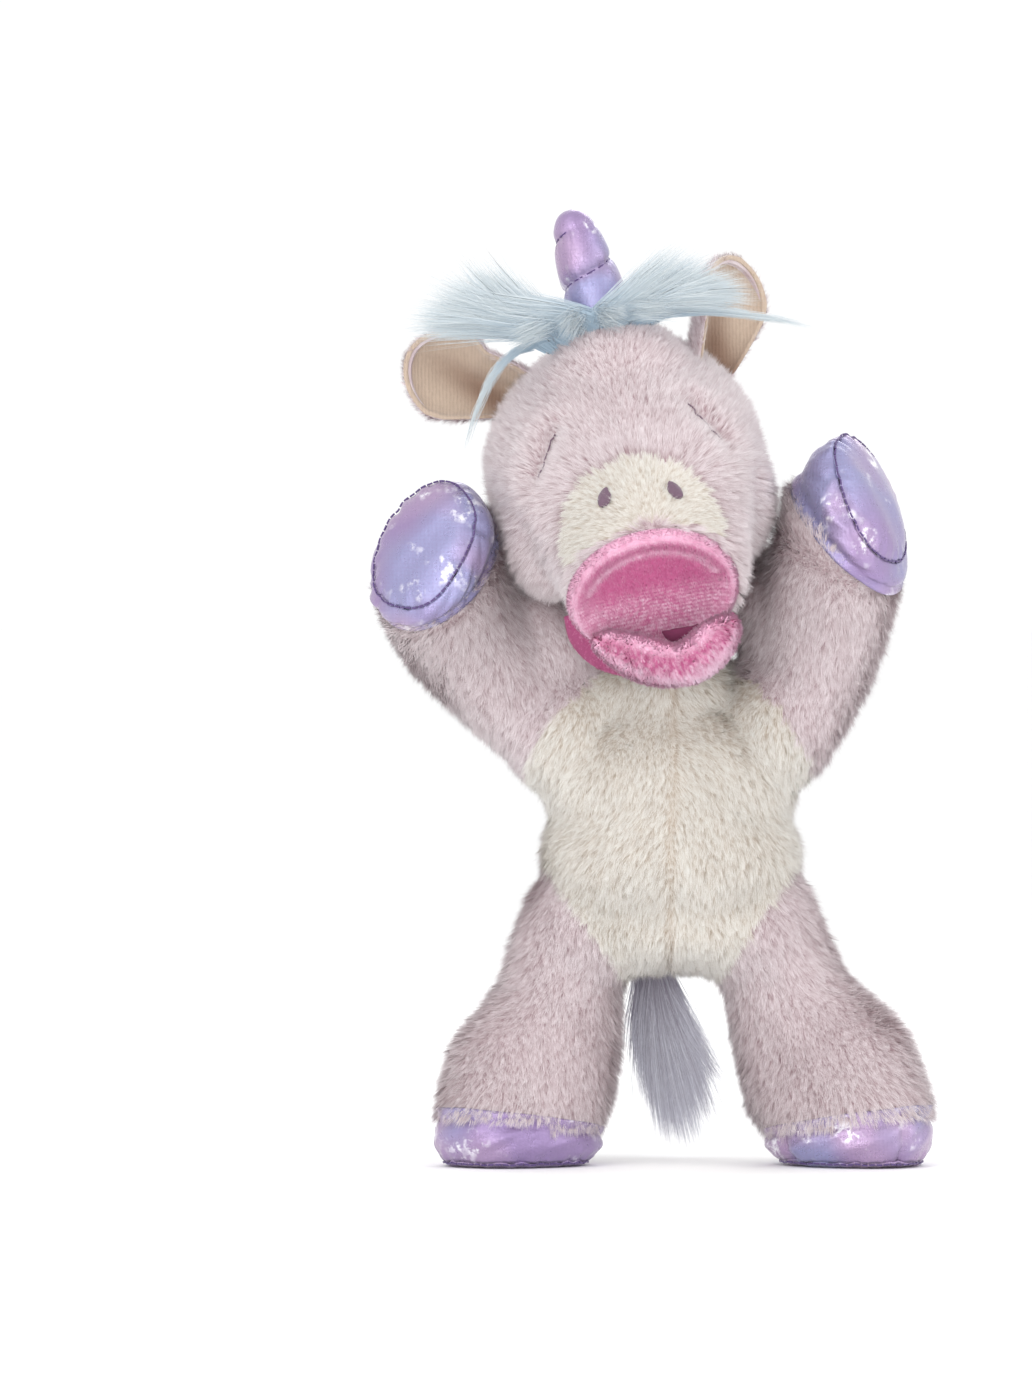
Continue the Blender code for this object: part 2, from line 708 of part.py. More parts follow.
def build():
    clear_scene()
    torso = joint_empty("torso_joint", Vector((0.0, 0.0, 90.0)))
    build_torso(torso)
    build_label(torso)
    neck = joint_empty("neck_joint", NECK_PIVOT, torso)
    build_neck(neck)
    head = joint_empty("head_joint", NECK_PIVOT, neck)
    build_head(head)
    build_mouth(head)
    build_lip(joint_empty("jaw_joint", HEAD @ LIP_HINGE, head))
    build_horn(joint_empty("horn_joint", HEAD @ HORN_SEAT, head))
    for side in EARS:
        pivot = Vector(ear_frame(EARS[side]).translation)
        build_ear(side, joint_empty(f"{side}_ear_joint", pivot, head))
    limbs = {"left_arm": LEFT_ARM, "right_arm": RIGHT_ARM, "left_leg": LEFT_LEG, "right_leg": RIGHT_LEG}
    for name, limb in limbs.items():
        build_limb(name, limb, joint_empty(f"{name}_joint", limb["pivot"], torso))
    build_pile(head, joint_empty("tail_joint", TAIL_ROOT, torso))


build()
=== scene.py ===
"""Plush unicorn: fur, foil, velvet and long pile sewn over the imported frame, with a plain studio around it."""

import json
import math

import bmesh
import bpy
import numpy as np
from mathutils import Matrix, Vector
from mathutils.kdtree import KDTree


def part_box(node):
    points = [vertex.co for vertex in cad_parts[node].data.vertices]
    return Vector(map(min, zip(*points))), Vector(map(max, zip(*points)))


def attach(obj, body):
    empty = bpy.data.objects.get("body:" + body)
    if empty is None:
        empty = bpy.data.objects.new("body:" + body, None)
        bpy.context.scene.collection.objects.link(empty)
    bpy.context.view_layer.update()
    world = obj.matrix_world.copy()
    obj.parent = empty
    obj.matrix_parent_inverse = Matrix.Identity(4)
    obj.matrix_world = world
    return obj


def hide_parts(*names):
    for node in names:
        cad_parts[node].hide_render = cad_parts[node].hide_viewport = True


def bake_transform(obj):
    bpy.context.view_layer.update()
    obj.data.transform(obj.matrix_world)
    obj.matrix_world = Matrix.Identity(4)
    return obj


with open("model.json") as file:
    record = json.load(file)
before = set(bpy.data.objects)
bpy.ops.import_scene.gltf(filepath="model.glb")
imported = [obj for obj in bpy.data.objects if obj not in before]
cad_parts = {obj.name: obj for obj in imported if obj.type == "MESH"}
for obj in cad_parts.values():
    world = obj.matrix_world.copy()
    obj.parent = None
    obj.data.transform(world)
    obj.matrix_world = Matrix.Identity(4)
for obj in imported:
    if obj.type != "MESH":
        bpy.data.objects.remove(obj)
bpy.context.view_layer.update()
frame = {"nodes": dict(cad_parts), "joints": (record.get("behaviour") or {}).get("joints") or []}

bl_info = {
    "name": "Plush unicorn",
    "version": (1, 0, 0),
    "blender": (4, 5, 0),
    "location": "View3D > Sidebar > Plush",
    "description": "Makes the fur, hooves, face, horn, ears and long pile of a plush unicorn",
    "category": "Add Mesh",
}

MM = 0.001
LIMBS = ("left_arm", "right_arm", "left_leg", "right_leg")
JOINTS = {joint["name"]: joint for joint in frame["joints"]}
JOINT_OF = {
    "left_arm": "left_shoulder",
    "right_arm": "right_shoulder",
    "left_leg": "left_hip",
    "right_leg": "right_hip",
}


# Places


def joint_point(name):
    return Vector(JOINTS[name]["pos_m"])


def head_frame():
    """The head's own axes, from its joints. X is to the toy's left, -Y out of the face and Z to the horn."""
    across = Vector(JOINTS["head_nod"]["axis"]).normalized()
    back = Vector(JOINTS["horn_wobble"]["axis"]).normalized()
    up = across.cross(back)
    turn = Matrix((across, back, up)).transposed().to_4x4()
    centre = joint_point("horn_wobble") - (back * -6.0 + up * 37.0) * MM
    return Matrix.Translation(centre) @ turn


HEAD = head_frame()
HEAD_BACK = HEAD.inverted()
TORSO = joint_point("left_hip").lerp(joint_point("right_hip"), 0.5)
TORSO.z = 0.0


def in_head(points):
    """Points in the head's own frame, in millimetres."""
    turn = np.array(HEAD_BACK)
    return (points @ turn[:3, :3].T + turn[:3, 3]) / MM


def from_head(points):
    turn = np.array(HEAD)
    return (np.asarray(points, float) * MM) @ turn[:3, :3].T + turn[:3, 3]


def head_way(x, y, z):
    return np.array(HEAD.to_3x3() @ Vector((x, y, z)))


def torso_point(x, y, z):
    """A place given in millimetres from the floor under the torso's middle."""
    return TORSO + Vector((x, y, z)) * MM


def tone(red, green, blue):
    """A linear colour from its display values, 0 to 255."""
    return tuple(c / 12.92 / 255 if c <= 10 else ((c / 255 + 0.055) / 1.055) ** 2.4 for c in (red, green, blue))


# Settings


def colour_setting(name, description, red, green, blue):
    return bpy.props.FloatVectorProperty(
        name=name,
        description=description,
        default=tone(red, green, blue),
        subtype="COLOR",
        size=3,
        min=0.0,
        max=1.0,
    )


def length_setting(name, description, millimetres):
    return bpy.props.FloatProperty(
        name=name,
        description=description,
        default=millimetres * MM,
        min=0.0,
        unit="LENGTH",
        subtype="DISTANCE",
        precision=5,
    )


class PlushSizes(bpy.types.PropertyGroup):
    pile_length: length_setting("Pile length", "Length of the short fur", 5.4)
    pile_width: length_setting("Hair width", "Width of one tuft of the short fur at its root", 0.2)
    snout_length: length_setting("Snout pile length", "Length of the fur round the nostrils", 3.6)
    forelock_width: length_setting("Long hair width", "Width of a strand of the forelock, mane and tail", 0.2)
    sole_puff: length_setting("Sole puff", "How far the filling swells each sole", 2.4)
    pile_count: bpy.props.IntProperty(
        name="Pile count",
        description="Tufts of short fur in each square centimetre",
        default=1500,
        min=10,
    )
    pressure: bpy.props.FloatProperty(
        name="Filling pressure",
        description="How hard the filling presses the sewn skins outwards",
        default=4.0,
        min=0.0,
    )


class PlushColours(bpy.types.PropertyGroup):
    # The root colours are darker as painted shade for the fur's depth.
    fur_tip: colour_setting("Fur tip", "Tips of the lilac fur", 230, 222, 224)
    fur_root: colour_setting("Fur root", "Roots of the lilac fur", 164, 132, 138)
    cream_tip: colour_setting("Cream tip", "Tips of the cream fur", 230, 229, 224)
    cream_root: colour_setting("Cream root", "Roots of the cream fur", 184, 166, 148)
    foil: colour_setting("Foil", "Main colour of the foil cloth", 150, 128, 172)
    foil_blue: colour_setting("Foil blue", "Cool patches of the foil cloth", 146, 148, 188)
    foil_pink: colour_setting("Foil pink", "Warm patches of the foil cloth", 172, 146, 178)
    velvet: colour_setting("Velvet", "Pink velvet where its pile lies flat", 192, 92, 140)
    # Pale painted highlight of the velvet, where its pile catches the light.
    velvet_highlight: colour_setting("Velvet highlight", "Pink velvet where its pile stands", 244, 212, 230)
    velour: colour_setting("Velour", "Lining of the ears", 190, 170, 152)
    blue_pile: colour_setting("Blue pile", "Forelock and mane", 206, 211, 212)
    grey_pile: colour_setting("Grey pile", "Tail", 222, 224, 232)
    thread: colour_setting("Thread", "Dark mauve sewing thread", 112, 84, 104)
    foil_thread: colour_setting("Foil thread", "Thread of the hoof seams and the horn", 84, 58, 120)


class StudioSettings(bpy.types.PropertyGroup):
    camera_distance: length_setting("Camera distance", "From the camera to the toy", 2400.0)
    view_height: length_setting("View height", "Height of what the camera sees at the toy", 372.0)
    key_power: bpy.props.FloatProperty(
        name="Key light", description="Power of the main light", default=3.0, unit="POWER"
    )
    fill_power: bpy.props.FloatProperty(
        name="Fill light", description="Power of the side and rear lights", default=3.0, unit="POWER"
    )
    low_power: bpy.props.FloatProperty(
        name="Low light", description="Power of the low front light", default=7.0, unit="POWER"
    )


def sizes():
    return bpy.context.scene.plush_sizes


def colours():
    return bpy.context.scene.plush_colours


# Materials


def group(name, inputs, outputs):
    """A new shader node group with its sockets, and its input and output nodes."""
    tree = bpy.data.node_groups.new(name, "ShaderNodeTree")
    for label, kind, default in inputs:
        socket = tree.interface.new_socket(label, in_out="INPUT", socket_type=kind)
        socket.default_value = default
    for label, kind in outputs:
        tree.interface.new_socket(label, in_out="OUTPUT", socket_type=kind)
    return tree, tree.nodes.new("NodeGroupInput"), tree.nodes.new("NodeGroupOutput")


def node(tree, kind, links=(), **values):
    """A node with its settings and its links, given as socket name or number to output socket or value."""
    made = tree.nodes.new(kind)
    for key, value in values.items():
        setattr(made, key, value)
    for socket, source in links:
        if isinstance(source, bpy.types.NodeSocket):
            tree.links.new(source, made.inputs[socket])
        else:
            made.inputs[socket].default_value = source
    return made


def mix(tree, factor, first, second, blend="MIX"):
    made = node(tree, "ShaderNodeMix", data_type="RGBA", blend_type=blend)
    for socket, source in ((0, factor), (6, first), (7, second)):
        if isinstance(source, bpy.types.NodeSocket):
            tree.links.new(source, made.inputs[socket])
        elif socket:
            made.inputs[socket].default_value = (*source, 1.0)
        else:
            made.inputs[socket].default_value = source
    return made.outputs[2]


def arithmetic(tree, operation, first, second=0.0, clamp=False):
    made = node(tree, "ShaderNodeMath", ((0, first), (1, second)), operation=operation, use_clamp=clamp)
    return made.outputs[0]


def noise(tree, scale, detail=3.0, roughness=0.5, vector=None):
    links = [("Scale", scale), ("Detail", detail), ("Roughness", roughness)]
    if vector:
        links.append(("Vector", vector))
    return node(tree, "ShaderNodeTexNoise", links).outputs["Fac"]


def object_place(tree):
    return node(tree, "ShaderNodeTexCoord").outputs["Object"]


def pile_group():
    """Colour of a tuft: darker towards its root, painted shade for the depth of the fur since its strands cast no
    shadows, and light at its tip, with its own tone and slow patches.
    """
    found = bpy.data.node_groups.get("pile_colour")
    if found:
        return found
    tree, start, end = group(
        "pile_colour",
        (
            ("Root", "NodeSocketColor", (0.5, 0.5, 0.5, 1.0)),
            ("Tip", "NodeSocketColor", (0.9, 0.9, 0.9, 1.0)),
            ("Variation", "NodeSocketFloat", 0.3),
        ),
        (("Color", "NodeSocketColor"), ("Roughness", "NodeSocketFloat")),
    )
    along = node(tree, "ShaderNodeAttribute", attribute_name="along").outputs["Fac"]
    own = node(tree, "ShaderNodeAttribute", attribute_name="tone").outputs["Fac"]
    reach = node(tree, "ShaderNodeMapRange", ((0, along), (1, 0.05), (2, 0.8)), interpolation_type="SMOOTHSTEP")
    body = mix(tree, reach.outputs[0], start.outputs["Root"], start.outputs["Tip"])
    patches = noise(tree, 60.0, 3.0, 0.6, object_place(tree))
    both = arithmetic(tree, "ADD", own, arithmetic(tree, "MULTIPLY", patches, 0.6))
    darkness = arithmetic(tree, "MULTIPLY", arithmetic(tree, "SUBTRACT", 1.3, both, True), start.outputs["Variation"])
    shaded = mix(tree, darkness, body, start.outputs["Root"])
    tree.links.new(shaded, end.inputs["Color"])
    rough = arithmetic(tree, "ADD", 0.62, arithmetic(tree, "MULTIPLY", own, 0.25))
    tree.links.new(rough, end.inputs["Roughness"])
    return tree


def cloth_group():
    """A fine twill weave with slow dirt and fibre variation, as a height and a mask."""
    found = bpy.data.node_groups.get("cloth_weave")
    if found:
        return found
    tree, start, end = group(
        "cloth_weave",
        (("Scale", "NodeSocketFloat", 1500.0), ("Fuzz", "NodeSocketFloat", 0.5)),
        (("Height", "NodeSocketFloat"), ("Mask", "NodeSocketFloat")),
    )
    place = object_place(tree)
    warp = node(tree, "ShaderNodeTexWave", (("Vector", place), ("Scale", start.outputs["Scale"]), ("Distortion", 0.6)))
    weft = node(
        tree,
        "ShaderNodeTexWave",
        (("Vector", place), ("Scale", start.outputs["Scale"]), ("Distortion", 0.6)),
        bands_direction="Z",
    )
    crossed = arithmetic(tree, "MAXIMUM", warp.outputs["Fac"], weft.outputs["Fac"])
    fibres = arithmetic(tree, "MULTIPLY", noise(tree, 2400.0, 2.0, 0.5, place), start.outputs["Fuzz"])
    tree.links.new(arithmetic(tree, "ADD", crossed, fibres), end.inputs["Height"])
    tree.links.new(noise(tree, 90.0, 4.0, 0.6, place), end.inputs["Mask"])
    return tree


def principled(name, roughness=0.6, metallic=0.0, **values):
    """A new material with its shader and constants set on the shader's own sockets."""
    made = bpy.data.materials.new(name)
    made.use_nodes = True
    shader = made.node_tree.nodes["Principled BSDF"]
    shader.inputs["Roughness"].default_value = roughness
    shader.inputs["Metallic"].default_value = metallic
    for key, value in values.items():
        shader.inputs[key.replace("_", " ")].default_value = value
    return made, shader


def pile_material(name, root, tip, variation=0.45):
    found = bpy.data.materials.get(name)
    if found:
        return found
    made, shader = principled(name, 0.8, Sheen_Weight=0.25, Sheen_Roughness=0.5, Specular_IOR_Level=0.25)
    tree = made.node_tree
    pile = node(tree, "ShaderNodeGroup", node_tree=pile_group())
    pile.inputs["Root"].default_value = (*root, 1.0)
    pile.inputs["Tip"].default_value = (*tip, 1.0)
    pile.inputs["Variation"].default_value = variation
    tree.links.new(pile.outputs["Color"], shader.inputs["Base Color"])
    tree.links.new(pile.outputs["Roughness"], shader.inputs["Roughness"])
    return made


def backing_material(name, root, tip):
    """The knitted backing that the fur grows from."""
    found = bpy.data.materials.get(name)
    if found:
        return found
    made, shader = principled(name, 0.95, Sheen_Weight=0.3)
    tree = made.node_tree
    weave = node(tree, "ShaderNodeGroup", (("Scale", 900.0), ("Fuzz", 0.8)), node_tree=cloth_group())
    base = mix(tree, weave.outputs["Mask"], root, tip)
    tree.links.new(base, shader.inputs["Base Color"])
    bump = node(tree, "ShaderNodeBump", (("Height", weave.outputs["Height"]), ("Strength", 0.5), ("Distance", 0.0002)))
    tree.links.new(bump.outputs["Normal"], shader.inputs["Normal"])
    return made


def foil_material():
    """Metallic lilac cloth: slow blue and pink patches, a fine twill, crushed creases and near-white painted highlights
    along the crushed ridges.
    """
    found = bpy.data.materials.get("foil_cloth")
    if found:
        return found
    made, shader = principled("foil_cloth", 0.36, 0.55, Sheen_Weight=0.15, Coat_Weight=0.35, Coat_Roughness=0.22)
    tree = made.node_tree
    chosen = colours()
    place = object_place(tree)
    weave = node(tree, "ShaderNodeGroup", (("Scale", 880.0), ("Fuzz", 0.6)), node_tree=cloth_group())
    slow = node(tree, "ShaderNodeMapRange", ((0, noise(tree, 34.0, 1.0, 0.4, place)), (1, 0.42), (2, 0.60)))
    warm = node(tree, "ShaderNodeMapRange", ((0, noise(tree, 47.0, 1.0, 0.4, place)), (1, 0.50), (2, 0.66)))
    both = mix(tree, warm.outputs[0], mix(tree, slow.outputs[0], chosen.foil, chosen.foil_blue), chosen.foil_pink)
    thread = node(tree, "ShaderNodeMapRange", ((0, weave.outputs["Height"]), (1, 0.35), (2, 1.15), (3, 0.0), (4, 1.0)))
    dark = mix(tree, thread.outputs[0], tuple(c * 0.78 for c in chosen.foil), both)
    crush = noise(tree, 300.0, 5.0, 0.65, place)
    # Painted highlights: near-white patches painted into the colour on the crushed ridges, along the woven threads.
    patch = node(tree, "ShaderNodeMapRange", ((0, noise(tree, 95.0, 2.0, 0.5, place)), (1, 0.54), (2, 0.64)))
    sparkle_ridges = node(tree, "ShaderNodeMapRange", ((0, crush), (1, 0.50), (2, 0.60)))
    painted_sparkle = arithmetic(tree, "MULTIPLY", patch.outputs[0], sparkle_ridges.outputs[0])
    woven = arithmetic(tree, "ADD", 0.3, arithmetic(tree, "MULTIPLY", thread.outputs[0], 0.7))
    painted_sparkle = arithmetic(tree, "MULTIPLY", painted_sparkle, woven)
    shade = mix(tree, painted_sparkle, dark, (0.93, 0.92, 0.97))
    tree.links.new(shade, shader.inputs["Base Color"])
    rough = node(tree, "ShaderNodeMapRange", ((0, crush), (1, 0.35), (2, 0.65), (3, 0.24), (4, 0.44)))
    tree.links.new(rough.outputs[0], shader.inputs["Roughness"])
    fine = node(tree, "ShaderNodeBump", (("Height", weave.outputs["Height"]), ("Strength", 0.3), ("Distance", 0.00012)))
    creased = node(
        tree,
        "ShaderNodeBump",
        (("Height", crush), ("Strength", 0.4), ("Distance", 0.0008), ("Normal", fine.outputs["Normal"])),
    )
    tree.links.new(creased.outputs["Normal"], shader.inputs["Normal"])
    return made


def velvet_material(name="crushed_velvet", depth=1.0):
    """Crushed velvet: deep pink, mixed towards a pale painted highlight by the tone attribute and paler towards the
    nap's tips. depth darkens it, as painted shade for copies that sit in shadow.
    """
    found = bpy.data.materials.get(name)
    if found:
        return found
    made, shader = principled(name, 0.9, Sheen_Weight=0.12, Sheen_Roughness=0.4, Specular_IOR_Level=0.15)
    tree = made.node_tree
    chosen = colours()
    along = node(tree, "ShaderNodeAttribute", attribute_name="along").outputs["Fac"]
    own = node(tree, "ShaderNodeAttribute", attribute_name="tone").outputs["Fac"]
    grain = noise(tree, 420.0, 3.0, 0.6, object_place(tree))
    crushed = node(tree, "ShaderNodeMapRange", ((0, grain), (1, 0.35), (2, 0.65), (3, 0.75), (4, 1.15)))
    # Painted highlight from the tone attribute, paler towards the nap's tips.
    lit = arithmetic(tree, "MULTIPLY", own, arithmetic(tree, "ADD", 0.62, arithmetic(tree, "MULTIPLY", along, 0.38)))
    lit = arithmetic(tree, "MULTIPLY", lit, crushed.outputs[0], True)
    flat, standing = (tuple(c * depth for c in colour) for colour in (chosen.velvet, chosen.velvet_highlight))
    tree.links.new(mix(tree, lit, flat, standing), shader.inputs["Base Color"])
    return made


def thread_material(name, base):
    """Twisted sewing thread."""
    found = bpy.data.materials.get(name)
    if found:
        return found
    made, shader = principled(name, 0.55, Sheen_Weight=0.3)
    tree = made.node_tree
    twist = noise(tree, 1600.0, 2.0, 0.6, object_place(tree))
    tree.links.new(mix(tree, twist, tuple(c * 0.65 for c in base), base), shader.inputs["Base Color"])
    bump = node(tree, "ShaderNodeBump", (("Height", twist), ("Strength", 0.5), ("Distance", 0.0001)))
    tree.links.new(bump.outputs["Normal"], shader.inputs["Normal"])
    return made


# Mesh helpers


def new_object(name, mesh, *materials):
    made = bpy.data.objects.new(name, mesh)
    bpy.context.scene.collection.objects.link(made)
    for material in materials:
        mesh.materials.append(material)
    return made


def object_from(bm, name, *materials):
    """A smooth object from a bmesh, with its faces pointing out."""
    mesh = bpy.data.meshes.new(name)
    bmesh.ops.recalc_face_normals(bm, faces=bm.faces)
    bm.to_mesh(mesh)
    bm.free()
    mesh.shade_smooth()
    return new_object(name, mesh, *materials)


def merged(*names):
    """A bmesh of CAD nodes with their loose triangles merged."""
    bm = bmesh.new()
    for name in names:
        bm.from_mesh(frame["nodes"][name].data)
    bmesh.ops.remove_doubles(bm, verts=bm.verts, dist=0.00001)
    return bm


def add_ball(bm, centre, radii):
    """An ellipsoid of filling, with its radii in millimetres."""
    size = Matrix.Diagonal((*(Vector(radii) * MM), 1.0))
    bmesh.ops.create_icosphere(bm, subdivisions=4, radius=1.0, matrix=Matrix.Translation(centre) @ size)


def applied(obj):
    """The object with its modifiers applied."""
    graph = bpy.context.evaluated_depsgraph_get()
    mesh = bpy.data.meshes.new_from_object(obj.evaluated_get(graph))
    old = obj.data
    obj.modifiers.clear()
    obj.data = mesh
    bpy.data.meshes.remove(old)
    mesh.name = obj.name
    mesh.shade_smooth()
    return obj


def remeshed(obj, voxel, passes):
    """One even skin over all of the object's overlapping shapes, smoothed."""
    join = obj.modifiers.new("join", "REMESH")
    join.mode = "VOXEL"
    join.voxel_size = voxel * MM
    soften = obj.modifiers.new("soften", "SMOOTH")
    soften.factor = 0.5
    soften.iterations = passes
    return applied(obj)


def coordinates(mesh):
    found = np.zeros(len(mesh.vertices) * 3, np.float32)
    mesh.vertices.foreach_get("co", found)
    return found.reshape(-1, 3).astype(float)


def vertex_normals(mesh):
    found = np.zeros(len(mesh.vertices) * 3, np.float32)
    mesh.vertex_normals.foreach_get("vector", found)
    return found.reshape(-1, 3).astype(float)


def set_coordinates(mesh, points):
    mesh.vertices.foreach_set("co", points.astype(np.float32).ravel())
    mesh.update()


def swollen(obj, distance):
    """Moves a skin out along its normals, in millimetres."""
    set_coordinates(obj.data, coordinates(obj.data) + vertex_normals(obj.data) * distance * MM)
    return obj


def filled(obj, pressure, cap):
    """Lets the filling press a skin outwards, by no more than cap millimetres."""
    scene = bpy.context.scene
    before = coordinates(obj.data)
    cloth = obj.modifiers.new("filling", "CLOTH")
    cloth.settings.use_pressure = True
    cloth.settings.uniform_pressure_force = pressure
    cloth.settings.effector_weights.gravity = 0.0
    for number in range(1, 21):
        scene.frame_set(number)
    graph = bpy.context.evaluated_depsgraph_get()
    settled = coordinates(obj.evaluated_get(graph).data)
    obj.modifiers.clear()
    scene.frame_set(1)
    move = settled - before
    length = np.linalg.norm(move, axis=1, keepdims=True) + 1e-12
    set_coordinates(obj.data, before + move * np.minimum(1.0, cap * MM / length))
    return obj


def inside(outline, x, z):
    """Which points lie inside a closed outline of (x, z) points."""
    found = np.zeros(len(x), bool)
    for (x0, z0), (x1, z1) in zip(outline, outline[1:] + outline[:1]):
        crosses = (z0 > z) != (z1 > z)
        at = x0 + (z - z0) * (x1 - x0) / (z1 - z0 + 1e-12)
        found ^= crosses & (x < at)
    return found


def part_of(obj, name, keep, *materials):
    """A new object of the faces for which keep is true. keep takes face centres and face normals."""
    mesh = obj.data
    centres = np.zeros(len(mesh.polygons) * 3, np.float32)
    ways = np.zeros(len(mesh.polygons) * 3, np.float32)
    mesh.polygons.foreach_get("center", centres)
    mesh.polygons.foreach_get("normal", ways)
    wanted = keep(centres.reshape(-1, 3).astype(float), ways.reshape(-1, 3).astype(float))
    bm = bmesh.new()
    bm.from_mesh(mesh)
    bm.faces.ensure_lookup_table()
    drop = [bm.faces[i] for i in np.flatnonzero(~wanted)]
    bmesh.ops.delete(bm, geom=drop, context="FACES")
    made = bpy.data.meshes.new(name)
    bm.to_mesh(made)
    bm.free()
    made.materials.clear()
    made.shade_smooth()
    return new_object(name, made, *materials)


# Pile


def unit(vectors):
    return vectors / (np.linalg.norm(vectors, axis=1, keepdims=True) + 1e-12)


def smooth_noise(points, scale, seed, count=6):
    """Three slowly changing values for each point, between about -1 and 1. scale is a wavelength in millimetres."""
    rng = np.random.default_rng(seed)
    waves = rng.normal(size=(3, count, 3)) / (scale * MM)
    phases = rng.random((3, count)) * 2 * math.pi
    return np.stack([np.sin(points @ waves[i].T * 2.4 + phases[i]).mean(axis=1) * 1.6 for i in range(3)], axis=1)


def sample(obj, count, rng, weight=None):
    """Places and normals spread evenly over a skin, or as weight of the place says."""
    mesh = obj.data
    mesh.calc_loop_triangles()
    corners = np.zeros(len(mesh.loop_triangles) * 3, np.int32)
    mesh.loop_triangles.foreach_get("vertices", corners)
    corners = corners.reshape(-1, 3)
    points, normals = coordinates(mesh), vertex_normals(mesh)
    a, b, c = (points[corners[:, i]] for i in range(3))
    area = np.linalg.norm(np.cross(b - a, c - a), axis=1) / 2
    chance = area * weight((a + b + c) / 3) if weight else area
    pick = rng.choice(len(corners), int(count), p=chance / chance.sum())
    u, v = rng.random(int(count)), rng.random(int(count))
    over = u + v > 1
    u[over], v[over] = 1 - u[over], 1 - v[over]
    parts = np.stack([1 - u - v, u, v], axis=1)[:, :, None]
    return (points[corners[pick]] * parts).sum(1), unit((normals[corners[pick]] * parts).sum(1))


def area_cm2(obj):
    return sum(face.area for face in obj.data.polygons) * 1e4


def ribbons(name, paths, sides, width, normals, own, material):
    """Tapering flat strands. paths holds (strand, step, xyz); sides is across each strand and normals shades it."""
    count, steps = paths.shape[:2]
    taper = np.linspace(1.0, 0.45, steps - 1)[None, :, None]
    half = sides[:, None, :] * np.asarray(width).reshape(-1, 1, 1) / 2 * taper
    pairs = np.stack([paths[:, :-1] - half, paths[:, :-1] + half], axis=2).reshape(count, -1, 3)
    points = np.concatenate([pairs, paths[:, -1:]], axis=1)
    per = points.shape[1]
    faces, starts, run = [], [], 0
    for step in range(steps - 2):
        faces += [2 * step, 2 * step + 1, 2 * step + 3, 2 * step + 2]
        starts.append(run)
        run += 4
    faces += [per - 3, per - 2, per - 1]
    starts.append(run)
    run += 3
    loops = (np.arange(count)[:, None] * per + np.array(faces)).ravel()
    firsts = (np.arange(count)[:, None] * run + np.array(starts)).ravel()
    mesh = bpy.data.meshes.new(name)
    mesh.vertices.add(count * per)
    mesh.vertices.foreach_set("co", points.astype(np.float32).ravel())
    mesh.loops.add(len(loops))
    mesh.loops.foreach_set("vertex_index", loops.astype(np.int32))
    mesh.polygons.add(len(firsts))
    mesh.polygons.foreach_set("loop_start", firsts.astype(np.int32))
    mesh.update(calc_edges=True)
    mesh.shade_smooth()
    along = np.concatenate([np.repeat(np.linspace(0, 1, steps)[:-1], 2), [1.0]])
    values = {"along": np.tile(along, count), "tone": np.repeat(own, per)}
    for label, data in values.items():
        mesh.attributes.new(label, "FLOAT", "POINT").data.foreach_set("value", data.astype(np.float32))
    mesh.normals_split_custom_set_from_vertices(np.repeat(normals, per, axis=0).astype(np.float32))
    return new_object(name, mesh, material)


def clumped(roots, spacing, rng):
    """The clump that each strand belongs to, and the strand at each clump's middle."""
    count = max(1, int(len(roots) / spacing))
    heads = rng.choice(len(roots), count, replace=False)
    tree = KDTree(count)
    for number, index in enumerate(heads):
        tree.insert(roots[index], number)
    tree.balance()
    return np.array([tree.find(root)[1] for root in roots]), heads


def grow(name, skin, flow, length, rng, material, **options):
    """Short fur on a skin. flow gives the way the pile lies at each place; length may be a function of the place."""
    count = options.get("count") or area_cm2(skin) * sizes().pile_count * options.get("density", 1.0)
    roots, normals = sample(skin, count, rng, options.get("weight"))
    count = len(roots)
    lengths = length(roots) if callable(length) else np.full(count, length)
    lengths = lengths * (0.62 + 0.55 * rng.random(count))
    swirl = smooth_noise(roots, 18.0, 11) * 0.35
    near, heads = clumped(roots, options.get("clump", 14), rng)
    ways = flow(roots) + swirl + rng.normal(size=(len(heads), 3))[near] * 0.16 + rng.normal(size=roots.shape) * 0.26
    ways = unit(ways - normals * (ways * normals).sum(1, keepdims=True))
    lift = options.get("lift", 36.0) + 9 * smooth_noise(roots, 14.0, 23)[:, :1] + rng.normal(size=(count, 1)) * 11
    rise = np.radians(lift)
    sunk = roots - normals * 0.4 * MM
    paths = [sunk, sunk + (normals * np.sin(rise) + ways * np.cos(rise)) * lengths[:, None]]
    pull = options.get("pull", 0.42) * (0.5 + rng.random(len(heads)))[near][:, None]
    paths[-1] += (paths[-1][heads[near]] - paths[-1]) * pull
    sides = unit(np.cross(ways, normals) + rng.normal(size=roots.shape) * 0.25)
    tufted = rng.normal(size=(len(heads), 3))[near] * 0.06
    shading = unit(normals + ways * 0.05 + tufted + rng.normal(size=roots.shape) * 0.08)
    own = options["tone"](roots) if "tone" in options else 0.5
    own = own + options.get("uneven", 1.0) * (0.17 * rng.normal(size=len(heads))[near] + 0.28 * rng.normal(size=count))
    width = sizes().pile_width * options.get("width", 1.0) * (0.7 + 0.6 * rng.random(count))
    hair = ribbons(name, np.stack(paths, axis=1), sides, width, shading, np.clip(own, 0, 1), material)
    # The fur casts no shadows; its darker roots paint its shade instead.
    hair.visible_shadow = False
    return hair


# Limbs


